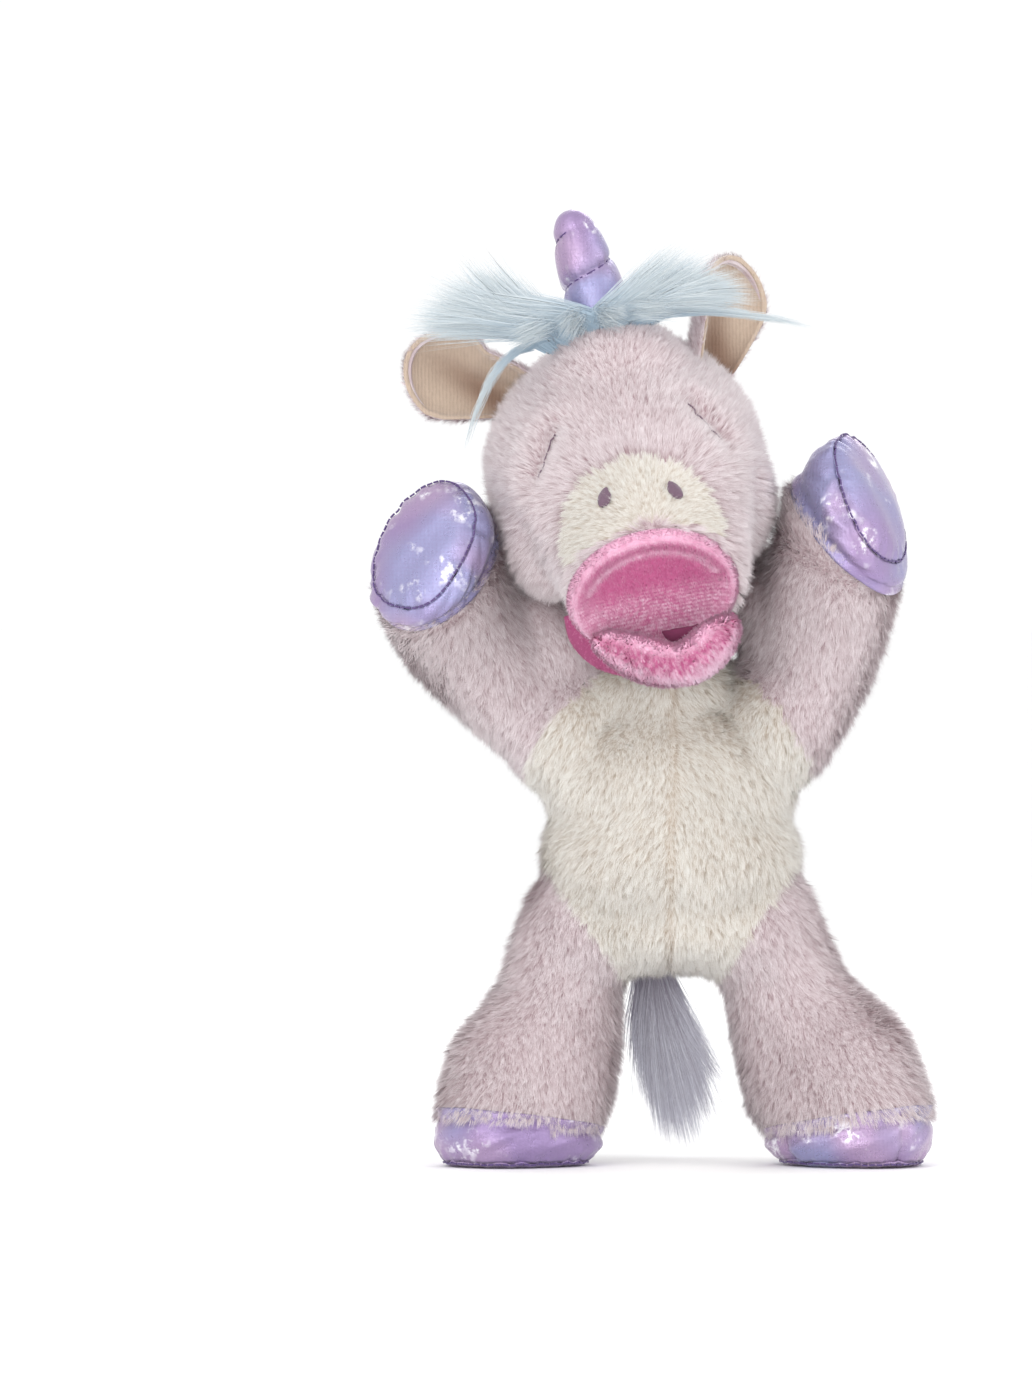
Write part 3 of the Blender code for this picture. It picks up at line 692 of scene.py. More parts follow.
def sole_frame(limb):
    """A sole's middle, long way, outward way and its two half lengths."""
    points = coordinates(frame["nodes"][f"{limb}_hoof_sole"].data)
    middle = (points.max(0) + points.min(0)) / 2
    _, _, axes = np.linalg.svd(points - points.mean(0), full_matrices=False)
    long_way, normal = Vector(axes[0]), Vector(axes[2])
    cuff_low, cuff_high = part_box(f"{limb}_hoof_cuff")
    if normal.dot(Vector(middle) - (cuff_low + cuff_high) / 2) < 0:
        normal.negate()
    short_way = normal.cross(long_way)
    reach = [np.abs((points - middle) @ np.array(way)).max() for way in (long_way, short_way)]
    outer = ((points - middle) @ np.array(normal)).max()
    return Vector(middle) + normal * outer, long_way, normal, short_way, reach[0], reach[1]


def cuff_ring(limb):
    """Where the fur sleeve ends: the ring's middle, and its long and short half ways."""
    middle, long_way, normal, *_ = sole_frame(limb)
    points = coordinates(frame["nodes"][f"{limb}_hoof_cuff"].data)
    depth = (points - np.array(middle)) @ np.array(normal)
    upper = points[depth < depth.max() - 1.2 * MM]
    centre = (upper.max(0) + upper.min(0)) / 2
    _, _, axes = np.linalg.svd(upper - upper.mean(0), full_matrices=False)
    plane = Vector(axes[2])
    if plane.dot(normal) < 0:
        plane.negate()
    across = (long_way - plane * long_way.dot(plane)).normalized()
    other = plane.cross(across)
    centre = Vector(upper.mean(0))
    reach = [np.abs((upper - np.array(centre)) @ np.array(way)).max() for way in (across, other)]
    return centre, across * reach[0], other * reach[1]


# Body


def limb_direction(name):
    """From a limb's joint towards its hoof."""
    low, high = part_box(f"{name}_hoof_sole")
    return ((low + high) / 2 - joint_point(JOINT_OF[name])).normalized()


SEAMS = {
    "left_arm": (Vector((33.0, 0.0, 121.0)), Vector((0.84, 0.0, 0.54))),
    "right_arm": (Vector((-32.0, 0.0, 121.0)), Vector((-0.86, 0.0, 0.51))),
    "left_leg": (Vector((24.0, 0.0, 68.0)), Vector((0.82, 0.0, -0.57))),
    "right_leg": (Vector((-24.0, 0.0, 68.0)), Vector((-0.82, 0.0, -0.57))),
}
TUMMY_HALF = (
    *((0, 44), (9, 47), (18, 55), (27, 67), (34, 80), (39, 90)),
    *((40, 104), (36, 114), (29, 124), (20, 132), (0, 141)),
)
TUMMY = [(x, z) for x, z in TUMMY_HALF] + [(-x, z) for x, z in TUMMY_HALF[-2:0:-1]]


def beyond_seam(name, points):
    place, way = SEAMS[name]
    return (points - np.array(torso_point(*place))) @ np.array(way) > 0


def body_region(name):
    """A test of face centres: the limb's name, torso, left_tummy or right_tummy."""

    def keep(points, _normals):
        side = {limb: beyond_seam(limb, points) for limb in LIMBS}
        if name in LIMBS:
            return side[name]
        rest = ~np.logical_or.reduce(list(side.values()))
        local = (points - np.array(TORSO)) / MM
        cream = inside(TUMMY, local[:, 0], local[:, 2]) & (local[:, 1] < 1.0)
        if name == "torso":
            return rest & ~cream
        return rest & cream & ((local[:, 0] > 0) if name == "left_tummy" else (local[:, 0] <= 0))

    return keep


def body_skin():
    """The stuffed body as one even skin over the torso and the four limbs."""
    found = bpy.data.objects.get("body_form")
    if found:
        return found
    bm = merged("torso_stuffing", *(f"{limb}_stuffing" for limb in LIMBS))
    for x, y, z, radii in (
        (0, 0, 104, (33, 26, 24)),
        (0, 0, 84, (33, 28, 22)),
        (0, -1, 64, (28, 22, 17)),
        (21, 0, 64, (17, 17, 18)),
        (-21, 0, 64, (17, 17, 18)),
        (27, -1, 119, (17, 16, 17)),
        (-27, -1, 118, (17, 16, 17)),
        (-3, 0, 128, (20, 19, 12)),
        (-31, 1, 138, (12, 13, 14)),
        (30, 3, 145, (10, 13, 15)),
        (26, 4, 153, (8, 12, 12)),
        (-37, 2, 147, (9, 12, 10)),
    ):
        add_ball(bm, torso_point(x, y, z), radii)
    skin = remeshed(object_from(bm, "body_form"), 2.6, 7)
    swollen(skin, 1.0)
    filled(skin, sizes().pressure, 1.0)
    points = coordinates(skin.data)
    local = (points - np.array(TORSO)) / MM
    below = np.clip(64 - local[:, 2], 0, None) * np.exp(-((local[:, 0] / 15) ** 4))
    points[:, 2] += below * 0.38 * MM
    set_coordinates(skin.data, points)
    bm = bmesh.new()
    bm.from_mesh(skin.data)
    for place, way in SEAMS.values():
        whole = [*bm.verts, *bm.edges, *bm.faces]
        bmesh.ops.bisect_plane(bm, geom=whole, plane_co=torso_point(*place), plane_no=way)
    bm.to_mesh(skin.data)
    bm.free()
    return skin


def body_flow(points):
    """The body's pile runs down, and away from the tummy's middle seam."""
    local = (points - np.array(TORSO)) / MM
    away = np.sign(local[:, 0]) * np.exp(-np.abs(local[:, 0]) / 3.0) * 0.5
    return np.stack([away + local[:, 0] * 0.006, np.zeros(len(points)), -np.ones(len(points))], axis=1)


def limb_flow(name):
    """A limb's pile runs down the limb, and towards the cuff at its edge."""
    toward = np.array(limb_direction(name))
    middle, *_ = cuff_ring(name)

    def flow(points):
        edge = np.exp(-np.abs((points - np.array(middle)) @ toward)[:, None] / (5 * MM))
        down = np.array([0.0, -0.1, -1.0]) if "arm" in name else toward + np.array([0, 0, -0.15])
        return toward * edge * 1.6 + down * (1 - edge)

    return flow


def seam_parting(points):
    """Less pile on the tummy's middle seam."""
    x = np.abs(points[:, 0] - TORSO.x) / MM
    return 1.0 - 0.55 * np.exp(-((x / 0.6) ** 2))


def join_limb(piece):
    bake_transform(piece)


class PLUSH_OT_torso(bpy.types.Operator):
    """Sews the torso's fur skin and the two halves of its cream tummy"""

    bl_idname = "plush.torso"
    bl_label = "Torso"

    def execute(self, context):
        form, chosen, rng = body_skin(), colours(), np.random.default_rng(3)
        length = sizes().pile_length
        fur = pile_material("lilac_pile", chosen.fur_root, chosen.fur_tip)
        cream = pile_material("cream_pile", chosen.cream_root, chosen.cream_tip, 0.3)
        back = backing_material("lilac_backing", chosen.fur_root, chosen.fur_tip)
        cream_back = backing_material("cream_backing", chosen.cream_root, chosen.cream_tip)
        for region, node_name, pile, backing in (
            ("torso", "torso_cover", fur, back),
            ("left_tummy", "left_tummy_panel", cream, cream_back),
            ("right_tummy", "right_tummy_panel", cream, cream_back),
        ):
            skin = part_of(form, f"{region}_skin", body_region(region), backing)
            hair = grow(f"{region}_fur", skin, body_flow, length, rng, pile, weight=seam_parting)
            for piece in (skin, hair):
                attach(piece, "torso")
            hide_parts(node_name)
            if region == "torso":
                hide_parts("torso_stuffing")
        return {"FINISHED"}


class PLUSH_OT_limbs(bpy.types.Operator):
    """Sews the four fur legs"""

    bl_idname = "plush.limbs"
    bl_label = "Limbs"

    def execute(self, context):
        form, chosen, rng = body_skin(), colours(), np.random.default_rng(5)
        fur = pile_material("lilac_pile", chosen.fur_root, chosen.fur_tip)
        back = backing_material("lilac_backing", chosen.fur_root, chosen.fur_tip)
        for limb in LIMBS:
            edge, across, other = cuff_ring(limb)
            toward = np.array(across.cross(other).normalized())

            def keep(points, normals, limb=limb, edge=np.array(edge), toward=toward):
                return body_region(limb)(points, normals) & ((points - edge) @ toward < 0.8 * MM)

            skin = part_of(form, f"{limb}_skin", keep, back)
            hair = grow(f"{limb}_fur", skin, limb_flow(limb), sizes().pile_length, rng, fur)
            for piece in (skin, hair):
                join_limb(piece)
            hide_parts(f"{limb}_cover", f"{limb}_stuffing")
        bpy.data.objects.remove(form)
        return {"FINISHED"}


# Sewn shapes


def ring(centre, direction, long_axis, long_radius, short_radius):
    """The matrix that lays a unit circle square to direction, in metres."""
    normal = direction.normalized()
    across = (long_axis - normal * long_axis.dot(normal)).normalized()
    turn = Matrix((across, normal.cross(across), normal)).transposed().to_4x4()
    return Matrix.Translation(centre) @ turn @ Matrix.Diagonal((long_radius, short_radius, 1.0, 1.0))


def edges_between(verts):
    """The edges that join two of these corners, in an order that is the same every run."""
    near = dict.fromkeys(edge for vert in verts for edge in vert.link_edges)
    return [edge for edge in near if set(edge.verts) <= set(verts)]


def loft(matrices, sides, caps=True):
    """A circle extruded from ring to ring, filled at both ends if it has caps."""
    bm = bmesh.new()
    bmesh.ops.create_circle(bm, segments=sides, radius=1.0, matrix=matrices[0])
    edges = list(bm.edges)
    ends = list(edges)
    for before, after in zip(matrices, matrices[1:]):
        made = bmesh.ops.extrude_edge_only(bm, edges=edges)["geom"]
        verts = [item for item in made if isinstance(item, bmesh.types.BMVert)]
        edges = edges_between(verts)
        bmesh.ops.transform(bm, matrix=after @ before.inverted(), verts=verts)
    if caps:
        bmesh.ops.contextual_create(bm, geom=ends)
        bmesh.ops.contextual_create(bm, geom=edges)
    return bm


def smooth_run(rows, count):
    """More rows on a smooth curve through the given rows of numbers."""
    rows = np.asarray(rows, float)
    at = np.linspace(0, len(rows) - 1, count)
    low = np.minimum(at.astype(int), len(rows) - 2)
    t = (at - low)[:, None]
    before, after = rows[np.maximum(low - 1, 0)], rows[np.minimum(low + 2, len(rows) - 1)]
    first, second = rows[low], rows[low + 1]
    return 0.5 * (
        2 * first
        + (second - before) * t
        + (2 * before - 5 * first + 4 * second - after) * t**2
        + (3 * first - before - 3 * second + after) * t**3
    )


def head_loft(stations, long_axis, sides, count, caps=True):
    """A smooth loft through stations of (x, y, z, long radius, short radius) in the head's frame."""
    rows = smooth_run(stations, count)
    centres = [Vector(row[:3]) for row in rows]
    matrices = []
    for i, row in enumerate(rows):
        way = centres[min(i + 1, count - 1)] - centres[max(i - 1, 0)]
        place = ring(centres[i] * MM, way, Vector(long_axis), max(row[3], 0.2) * MM, max(row[4], 0.2) * MM)
        matrices.append(HEAD @ place)
    return loft(matrices, sides, caps)


def disc(segments, fractions):
    """A flat unit disc of rings, given as fractions of its radius from the rim inwards."""
    bm = bmesh.new()
    bmesh.ops.create_circle(bm, segments=segments, radius=fractions[0])
    edges = list(bm.edges)
    for before, after in zip(fractions, fractions[1:]):
        made = bmesh.ops.extrude_edge_only(bm, edges=edges)["geom"]
        verts = [item for item in made if isinstance(item, bmesh.types.BMVert)]
        edges = edges_between(verts)
        bmesh.ops.scale(bm, vec=(after / before, after / before, 1.0), verts=verts)
    bmesh.ops.contextual_create(bm, geom=edges)
    return bm


def sheet_from(bm, name, facing, wall, *materials):
    """A shaped open surface that faces a given way, with a wall behind it."""
    mesh = bpy.data.meshes.new(name)
    bmesh.ops.recalc_face_normals(bm, faces=bm.faces)
    total = sum((face.normal * face.calc_area() for face in bm.faces), Vector())
    if total.dot(facing) < 0:
        bmesh.ops.reverse_faces(bm, faces=bm.faces)
    bm.to_mesh(mesh)
    bm.free()
    mesh.shade_smooth()
    made = new_object(name, mesh, *materials)
    if wall:
        thick = made.modifiers.new("wall", "SOLIDIFY")
        thick.thickness = wall * MM
        thick.offset = -1.0
    return made


def threads(name, lines, radius, material, sides=2):
    """Round threads along lines of points, in metres, as one mesh."""
    curve = bpy.data.curves.new(name, "CURVE")
    curve.dimensions = "3D"
    curve.bevel_depth = radius * MM
    curve.bevel_resolution = sides
    curve.use_fill_caps = True
    for points in lines:
        line = curve.splines.new("POLY")
        line.points.add(len(points) - 1)
        for point, place in zip(line.points, points):
            point.co = (*place, 1.0)
    holder = bpy.data.objects.new(name, curve)
    bpy.context.scene.collection.objects.link(holder)
    graph = bpy.context.evaluated_depsgraph_get()
    mesh = bpy.data.meshes.new_from_object(holder.evaluated_get(graph))
    bpy.data.objects.remove(holder)
    bpy.data.curves.remove(curve)
    mesh.name = name
    mesh.materials.clear()
    mesh.shade_smooth()
    return new_object(name, mesh, material)


def stitches(line, length, gap):
    """Short lines of thread along a line of points, with gaps between them."""
    points = np.asarray(line, float)
    steps = np.concatenate([[0], np.cumsum(np.linalg.norm(np.diff(points, axis=0), axis=1))])
    found, start = [], 0.0
    while start + length < steps[-1]:
        at = np.linspace(start, start + length, 5)
        found.append(np.stack([np.interp(at, steps, points[:, i]) for i in range(3)], axis=1))
        start += length + gap
    return found


# Head

SNOUT = [(0, 1), (11, -2), (18, -9), (21.5, -20), (19.5, -23.5), (12, -19), (0, -17)]
SNOUT = SNOUT + [(-x, z) for x, z in SNOUT[-2:0:-1]]
MOUTH = np.array((-2.2, -49.5, -34.0))
MOUTH_TILT = math.radians(34)
MOUTH_WAY = np.array((0.0, -math.cos(MOUTH_TILT), -math.sin(MOUTH_TILT)))
MOUTH_UP = np.array((0.0, -math.sin(MOUTH_TILT), math.cos(MOUTH_TILT)))
MOUTH_SIZE = (22.4, 18.8)
EYE = ((17.6, 11.6), (20.0, 7.0), (24.2, 0.2))


def eye_distance(x, z):
    """How far a place on the front of the head is from the nearer eye's crease, in millimetres."""
    line = smooth_run(EYE, 12)
    x = np.abs(x)
    return np.min(np.hypot(x[:, None] - line[:, 0], z[:, None] - line[:, 1]), axis=1)


def head_skin():
    """The stuffed head, with the pulled creases of the shut eyes."""
    bm = merged("head_stuffing")
    for x, y, z, radii in (
        (22, -14, -14, (13, 16, 16)),
        (-22, -14, -14, (13, 16, 16)),
        (0, -24, 2, (20, 12, 14)),
        (1, -8, 15, (20, 18, 22.5)),
    ):
        add_ball(bm, HEAD @ (Vector((x, y, z)) * MM), radii)
    skin = remeshed(object_from(bm, "head_form"), 1.9, 7)
    swollen(skin, 1.2)
    filled(skin, sizes().pressure, 1.0)
    local = in_head(coordinates(skin.data))
    x, y, z = local.T
    front = np.clip((-y - 4.0) / 8.0, 0, 1)
    reach = eye_distance(x, z)
    sink = 3.0 * np.exp(-((reach / 1.9) ** 2)) - 1.0 * np.exp(-(((reach - 5.0) / 2.6) ** 2))
    nose = 1.2 * np.exp(-((x / 14.0) ** 2 + ((z + 9.0) / 7.0) ** 2))
    local[:, 1] += front * (sink - nose)
    set_coordinates(skin.data, from_head(local))
    return skin


def head_flow(points):
    """Pile on the head: up and back over the forehead, out and down over the cheeks."""
    x, _, z = in_head(points).T
    low = np.clip((4.0 - z) / 16.0, 0, 1)
    side = np.clip(np.abs(x) / 20.0, 0, 1)
    ways = np.stack(
        [x / (np.abs(x) + 5.0) * (0.6 + 0.5 * side), 0.9 + 0 * x, 0.9 * (1 - low) - 1.3 * low * side],
        axis=1,
    )
    return ways @ np.array(HEAD.to_3x3()).T


def head_pile_length(points):
    """Short on the forehead and round the eyes, longer on the cheeks and at the back."""
    x, y, z = in_head(points).T
    forehead = np.exp(-((x / 19.0) ** 2)) * np.clip((z - 2.0) / 6.0, 0, 1) * np.clip((-y - 4.0) / 8.0, 0, 1)
    eye = np.exp(-((eye_distance(x, z) / 2.2) ** 2)) * (y < -6)
    return sizes().pile_length * (1.0 - 0.34 * forehead - 0.35 * eye)


class PLUSH_OT_head(bpy.types.Operator):
    """Sews the head, its snout patch and the neck"""

    bl_idname = "plush.head"
    bl_label = "Head"

    def execute(self, context):
        form, chosen, rng = head_skin(), colours(), np.random.default_rng(7)
        fur = pile_material("lilac_pile", chosen.fur_root, chosen.fur_tip)
        cream = pile_material("cream_pile", chosen.cream_root, chosen.cream_tip, 0.3)
        back = backing_material("lilac_backing", chosen.fur_root, chosen.fur_tip)
        cream_back = backing_material("cream_backing", chosen.cream_root, chosen.cream_tip)

        def region(snout):
            def keep(points, _normals):
                local = in_head(points)
                far = np.hypot((local[:, 0] - MOUTH[0]) / MOUTH_SIZE[0], (local - MOUTH) @ MOUTH_UP / MOUTH_SIZE[1])
                rim = ((local - MOUTH) @ MOUTH_WAY < -0.6) | (far > 0.98)
                patch = inside(SNOUT, local[:, 0] + 2.0, local[:, 2]) & (local[:, 1] < -18)
                return rim & (patch == snout)

            return keep

        skin = part_of(form, "head_skin", region(False), back)
        snout = part_of(form, "snout_skin", region(True), cream_back)
        hairs = []
        for side, sign in (("left", 1), ("right", -1)):
            half = part_of(skin, "half", lambda points, _normals, sign=sign: in_head(points)[:, 0] * sign > 0)
            hairs.append(grow(f"head_{side}_fur", half, head_flow, head_pile_length, rng, fur))
            bpy.data.objects.remove(half)
        soft = grow("snout_fur", snout, head_flow, sizes().snout_length, rng, cream, density=1.3, width=0.8)
        neck_bm = merged("neck_stuffing")
        neck = remeshed(object_from(neck_bm, "neck_skin", back), 2.0, 4)
        neck.data.materials.append(back)
        neck_hair = grow("neck_fur", neck, body_flow, 0.004, rng, fur, density=0.45, width=1.4)
        for piece in (skin, *hairs, snout, soft):
            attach(piece, "head")
        for piece in (neck, neck_hair):
            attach(piece, "neck")
        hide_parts("head_cover", "head_stuffing")
        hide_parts("snout_patch")
        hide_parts("neck_stuffing")
        self.face(form, chosen, rng)
        bpy.data.objects.remove(form)
        return {"FINISHED"}

    def face(self, form, chosen, rng):
        """Embroiders the nostrils and the stitched creases of the eyes."""
        dark = thread_material("face_thread", chosen.thread)

        def surface(x, z, lift):
            start = HEAD @ (Vector((x, -90.0, z)) * MM)
            way = HEAD.to_3x3() @ Vector((0, 1, 0))
            hit, place, normal, _ = form.ray_cast(start, way)
            if not hit:
                raise RuntimeError("a stitch misses the head")
            return place + normal * lift * MM, normal

        for side, sign in (("left", 1), ("right", -1)):
            low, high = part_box(f"{side}_nostril")
            middle = HEAD_BACK @ ((low + high) / 2) / MM - Vector((0.9 * (1 + sign), 0, 0.8 * (1 + sign)))
            slant = Vector((sign * 0.5, 0.0, -0.85)).normalized()
            across = Vector((slant.z, 0.0, -slant.x))
            lines = []
            for step in np.linspace(-1, 1, 15):
                half = 1.5 * math.sqrt(max(0.05, 1 - step * step))
                centre = Vector((middle.x, 0, middle.z)) + slant * step * 2.3
                rows = []
                for part, rise in ((-1, 0.9), (-0.6, 1.75), (0, 2.1), (0.6, 1.75), (1, 0.9)):
                    place = centre + across * half * part
                    rows.append(surface(place.x, place.z, rise)[0])
                lines.append(rows)
            nostril = threads(f"{side}_nostril_stitches", lines, 0.24, dark)
            line = [surface(sign * x, z, 1.5)[0] for x, z in smooth_run(EYE, 14)]
            crease = threads(f"{side}_eye_crease", stitches(line, 2.2 * MM, 0.3 * MM), 0.22, dark)
            for piece in (nostril, crease):
                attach(piece, "head")
            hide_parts(f"{side}_nostril")
            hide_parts(f"{side}_eye_stitch")


def store_painted_light(obj, shade):
    """Stores how pale each place of a velvet skin is, as its painted highlight."""
    values = np.clip(shade(coordinates(obj.data)), 0, 1).astype(np.float32)
    obj.data.attributes.new("tone", "FLOAT", "POINT").data.foreach_set("value", values)


def mouth_place(x, y, height):
    """A place on the mouth: x and y across and up it, as fractions of its size, and height out of it."""
    local = MOUTH + np.array((x * MOUTH_SIZE[0], 0, 0)) + MOUTH_UP * y * MOUTH_SIZE[1] + MOUTH_WAY * height
    return Vector(from_head(local[None])[0])


class PLUSH_OT_mouth(bpy.types.Operator):
    """Sews the velvet palate with its raised rim, the gusset and the padded lower lip"""

    bl_idname = "plush.mouth"
    bl_label = "Mouth"

    def execute(self, context):
        rng = np.random.default_rng(9)
        velvet = velvet_material()
        # A darker copy of the velvet: painted shade for the gusset, which sits in shadow under the lip.
        deep = velvet_material("gusset_shade_velvet", 0.55)
        facing = Vector(head_way(*MOUTH_WAY))
        fractions = (1.03, 1.015, 0.99, 0.95, 0.9, 0.85, 0.79, 0.72, 0.64, 0.56, 0.48, 0.4, 0.32, 0.24, 0.16, 0.08)
        bm = disc(120, fractions)
        for vert in bm.verts:
            x, y = vert.co.x, vert.co.y
            r = math.hypot(x, y)
            rim = 1.6 * math.exp(-(((r - 0.92) / 0.12) ** 2)) - 3.0 * max(0.0, r - 0.97) / 0.06
            ribs = 0.14 * math.sin(y * 108) * max(0.0, 1 - (r / 0.95) ** 4) * min(1.0, max(0.0, 0.35 - y))
            vert.co = mouth_place(x, y, 2.6 + rim + ribs - 0.4 * (1 - r * r))
        palate = sheet_from(bm, "palate_skin", facing, 0.9, velvet)
        # The palate and its nap take painted highlights as their tone.
        store_painted_light(palate, self.palate_painted_light)
        fine = {"count": 52000, "width": 1.15, "lift": 70.0, "clump": 5, "pull": 0.05, "uneven": 0.4}
        nap = grow("palate_nap", palate, self.nap_flow, 0.0012, rng, velvet, tone=self.palate_painted_light, **fine)
        gusset_rows = (
            (-25.4, -45.0, -36.5, 1.2, 0.8),
            (-23.7, -44.5, -42.5, 3.6, 1.0),
            (-19.2, -44.0, -48.5, 4.4, 1.0),
            (-12.2, -43.0, -52.5, 4.4, 1.0),
            (-2.2, -42.5, -54.5, 4.4, 1.0),
            (7.8, -42.5, -53.5, 4.2, 1.0),
            (14.8, -43.0, -49.0, 3.2, 0.9),
            (17.8, -44.0, -44.0, 1.2, 0.8),
        )
        gusset = object_from(head_loft(gusset_rows, (-0.3, 0.75, -0.6), 16, 40), "gusset_skin", deep)
        sparse = {"count": 9000, "width": 0.8, "lift": 55.0, "tone": lambda _points: 0.12}
        gusset_nap = grow("gusset_nap", gusset, self.nap_flow, 0.001, rng, velvet, **sparse)
        # A dark velvet bean in front of the palate: painted shade for the shadowed gap between the palate and the lip.
        shadow_patch_rows = (
            (-1.5, -47.5, -45.4, 0.3, 0.3),
            (0.5, -48.3, -46.9, 1.9, 1.2),
            (3.5, -48.6, -47.4, 2.2, 1.4),
            (6.3, -48.3, -46.9, 1.8, 1.2),
            (8.2, -47.5, -45.4, 0.3, 0.3),
        )
        shaded = velvet_material("shaded_velvet", 0.3)
        slot = object_from(head_loft(shadow_patch_rows, (0, -0.35, 1), 16, 24), "mouth_shadow_patch", shaded)
        lip_rows = (
            (-19.4, -49.4, -43.6, 0.8, 0.8),
            (-18.5, -50.2, -44.8, 2.8, 2.2),
            (-15.2, -51.8, -47.0, 4.6, 3.4),
            (-10.2, -53.8, -50.4, 5.9, 4.2),
            (-5.3, -55.0, -53.0, 5.9, 4.4),
            (-0.1, -55.4, -54.6, 5.4, 4.4),
            (4.9, -55.0, -54.0, 5.8, 4.4),
            (10.6, -53.6, -51.0, 6.0, 4.2),
            (14.7, -51.6, -48.2, 4.6, 3.4),
            (16.6, -50.0, -46.6, 2.6, 2.2),
            (17.2, -49.2, -46.0, 0.8, 0.8),
        )
        lip = object_from(head_loft(lip_rows, (0, -0.35, 1), 36, 72), "lip_skin", velvet)
        local = in_head(coordinates(lip.data))
        x, y, z = local.T
        local[:, 1] += 0.25 * np.sin(x * 1.3 + np.sin(z)) * (y < -50)
        set_coordinates(lip.data, from_head(local))
        middle = np.array(lip_rows)

        def lip_painted_light(points):
            # Painted highlights: pale light catches along the lip's upper and lower edges, and pale crushed specks,
            # stronger below the lip's top.
            x, _, z = in_head(points).T
            across = (z - np.interp(x, middle[:, 0], middle[:, 2])) / np.interp(x, middle[:, 0], middle[:, 3])
            pale = 1.0 * np.clip((np.abs(across + 0.05) - 0.30) / 0.4, 0, 1)
            crushed_specks = 0.55 * np.clip(smooth_noise(points, 0.9, 31)[:, 0] * 1.6, -0.6, 1)
            return 0.34 + pale + crushed_specks * (0.25 + 0.55 * (across < 0.2))

        store_painted_light(lip, lip_painted_light)
        crumbly = {"count": 40000, "width": 1.35, "lift": 64.0, "clump": 12, "pull": 0.5, "uneven": 0.6}
        lip_nap = grow("lip_nap", lip, self.nap_flow, 0.0017, rng, velvet, tone=lip_painted_light, **crumbly)
        for piece, body in (
            (palate, "head"),
            (nap, "head"),
            (gusset, "head"),
            (gusset_nap, "head"),
            (slot, "head"),
            (lip, "jaw"),
            (lip_nap, "jaw"),
        ):
            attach(piece, body)
        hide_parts("mouth_palate")
        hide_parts("mouth_gusset")
        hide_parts("lower_lip", "lip_wadding")
        return {"FINISHED"}

    @staticmethod
    def palate_painted_light(points):
        """Painted highlights: a pale light catch round the rim, a pale line near the top, pale shine on the lower ribs
        and a lighter lower half; deep across the middle.
        """
        local = in_head(points) - MOUTH
        across, up = local[:, 0] / MOUTH_SIZE[0], local @ MOUTH_UP / MOUTH_SIZE[1]
        far = np.hypot(across, up)
        rim = 0.75 * np.clip((far - 0.90) / 0.08, 0, 1) + 0.22 * np.clip((far - 0.6) / 0.3, 0, 1)
        line = 0.5 * np.exp(-(((np.hypot(across * 0.92, up + 0.03) - 0.74) / 0.05) ** 2)) * (up > 0.2)
        low = np.clip((0.22 - up) / 0.45, 0, 1)
        shine_bead = np.clip(0.75 + smooth_noise(points, 0.8, 41)[:, 0], 0.2, 1.2)
        ribs = low * (1.05 * np.clip(0.35 + np.sin(up * 100), 0, 1) * shine_bead + 0.12)
        return 0.06 + rim + line + ribs

    @staticmethod
    def nap_flow(points):
        return np.repeat(head_way(0.2, -0.3, -1.0)[None], len(points), axis=0)


# Hooves


def puckers(angle, seed, count=5, low=9, high=34):
    """Uneven gathers round a seam, between about -1 and 1."""
    rng = np.random.default_rng(seed)
    waves = rng.integers(low, high, count)
    return sum(math.sin(angle * w + p) for w, p in zip(waves, rng.random(count) * 6.28)) / count * 1.7


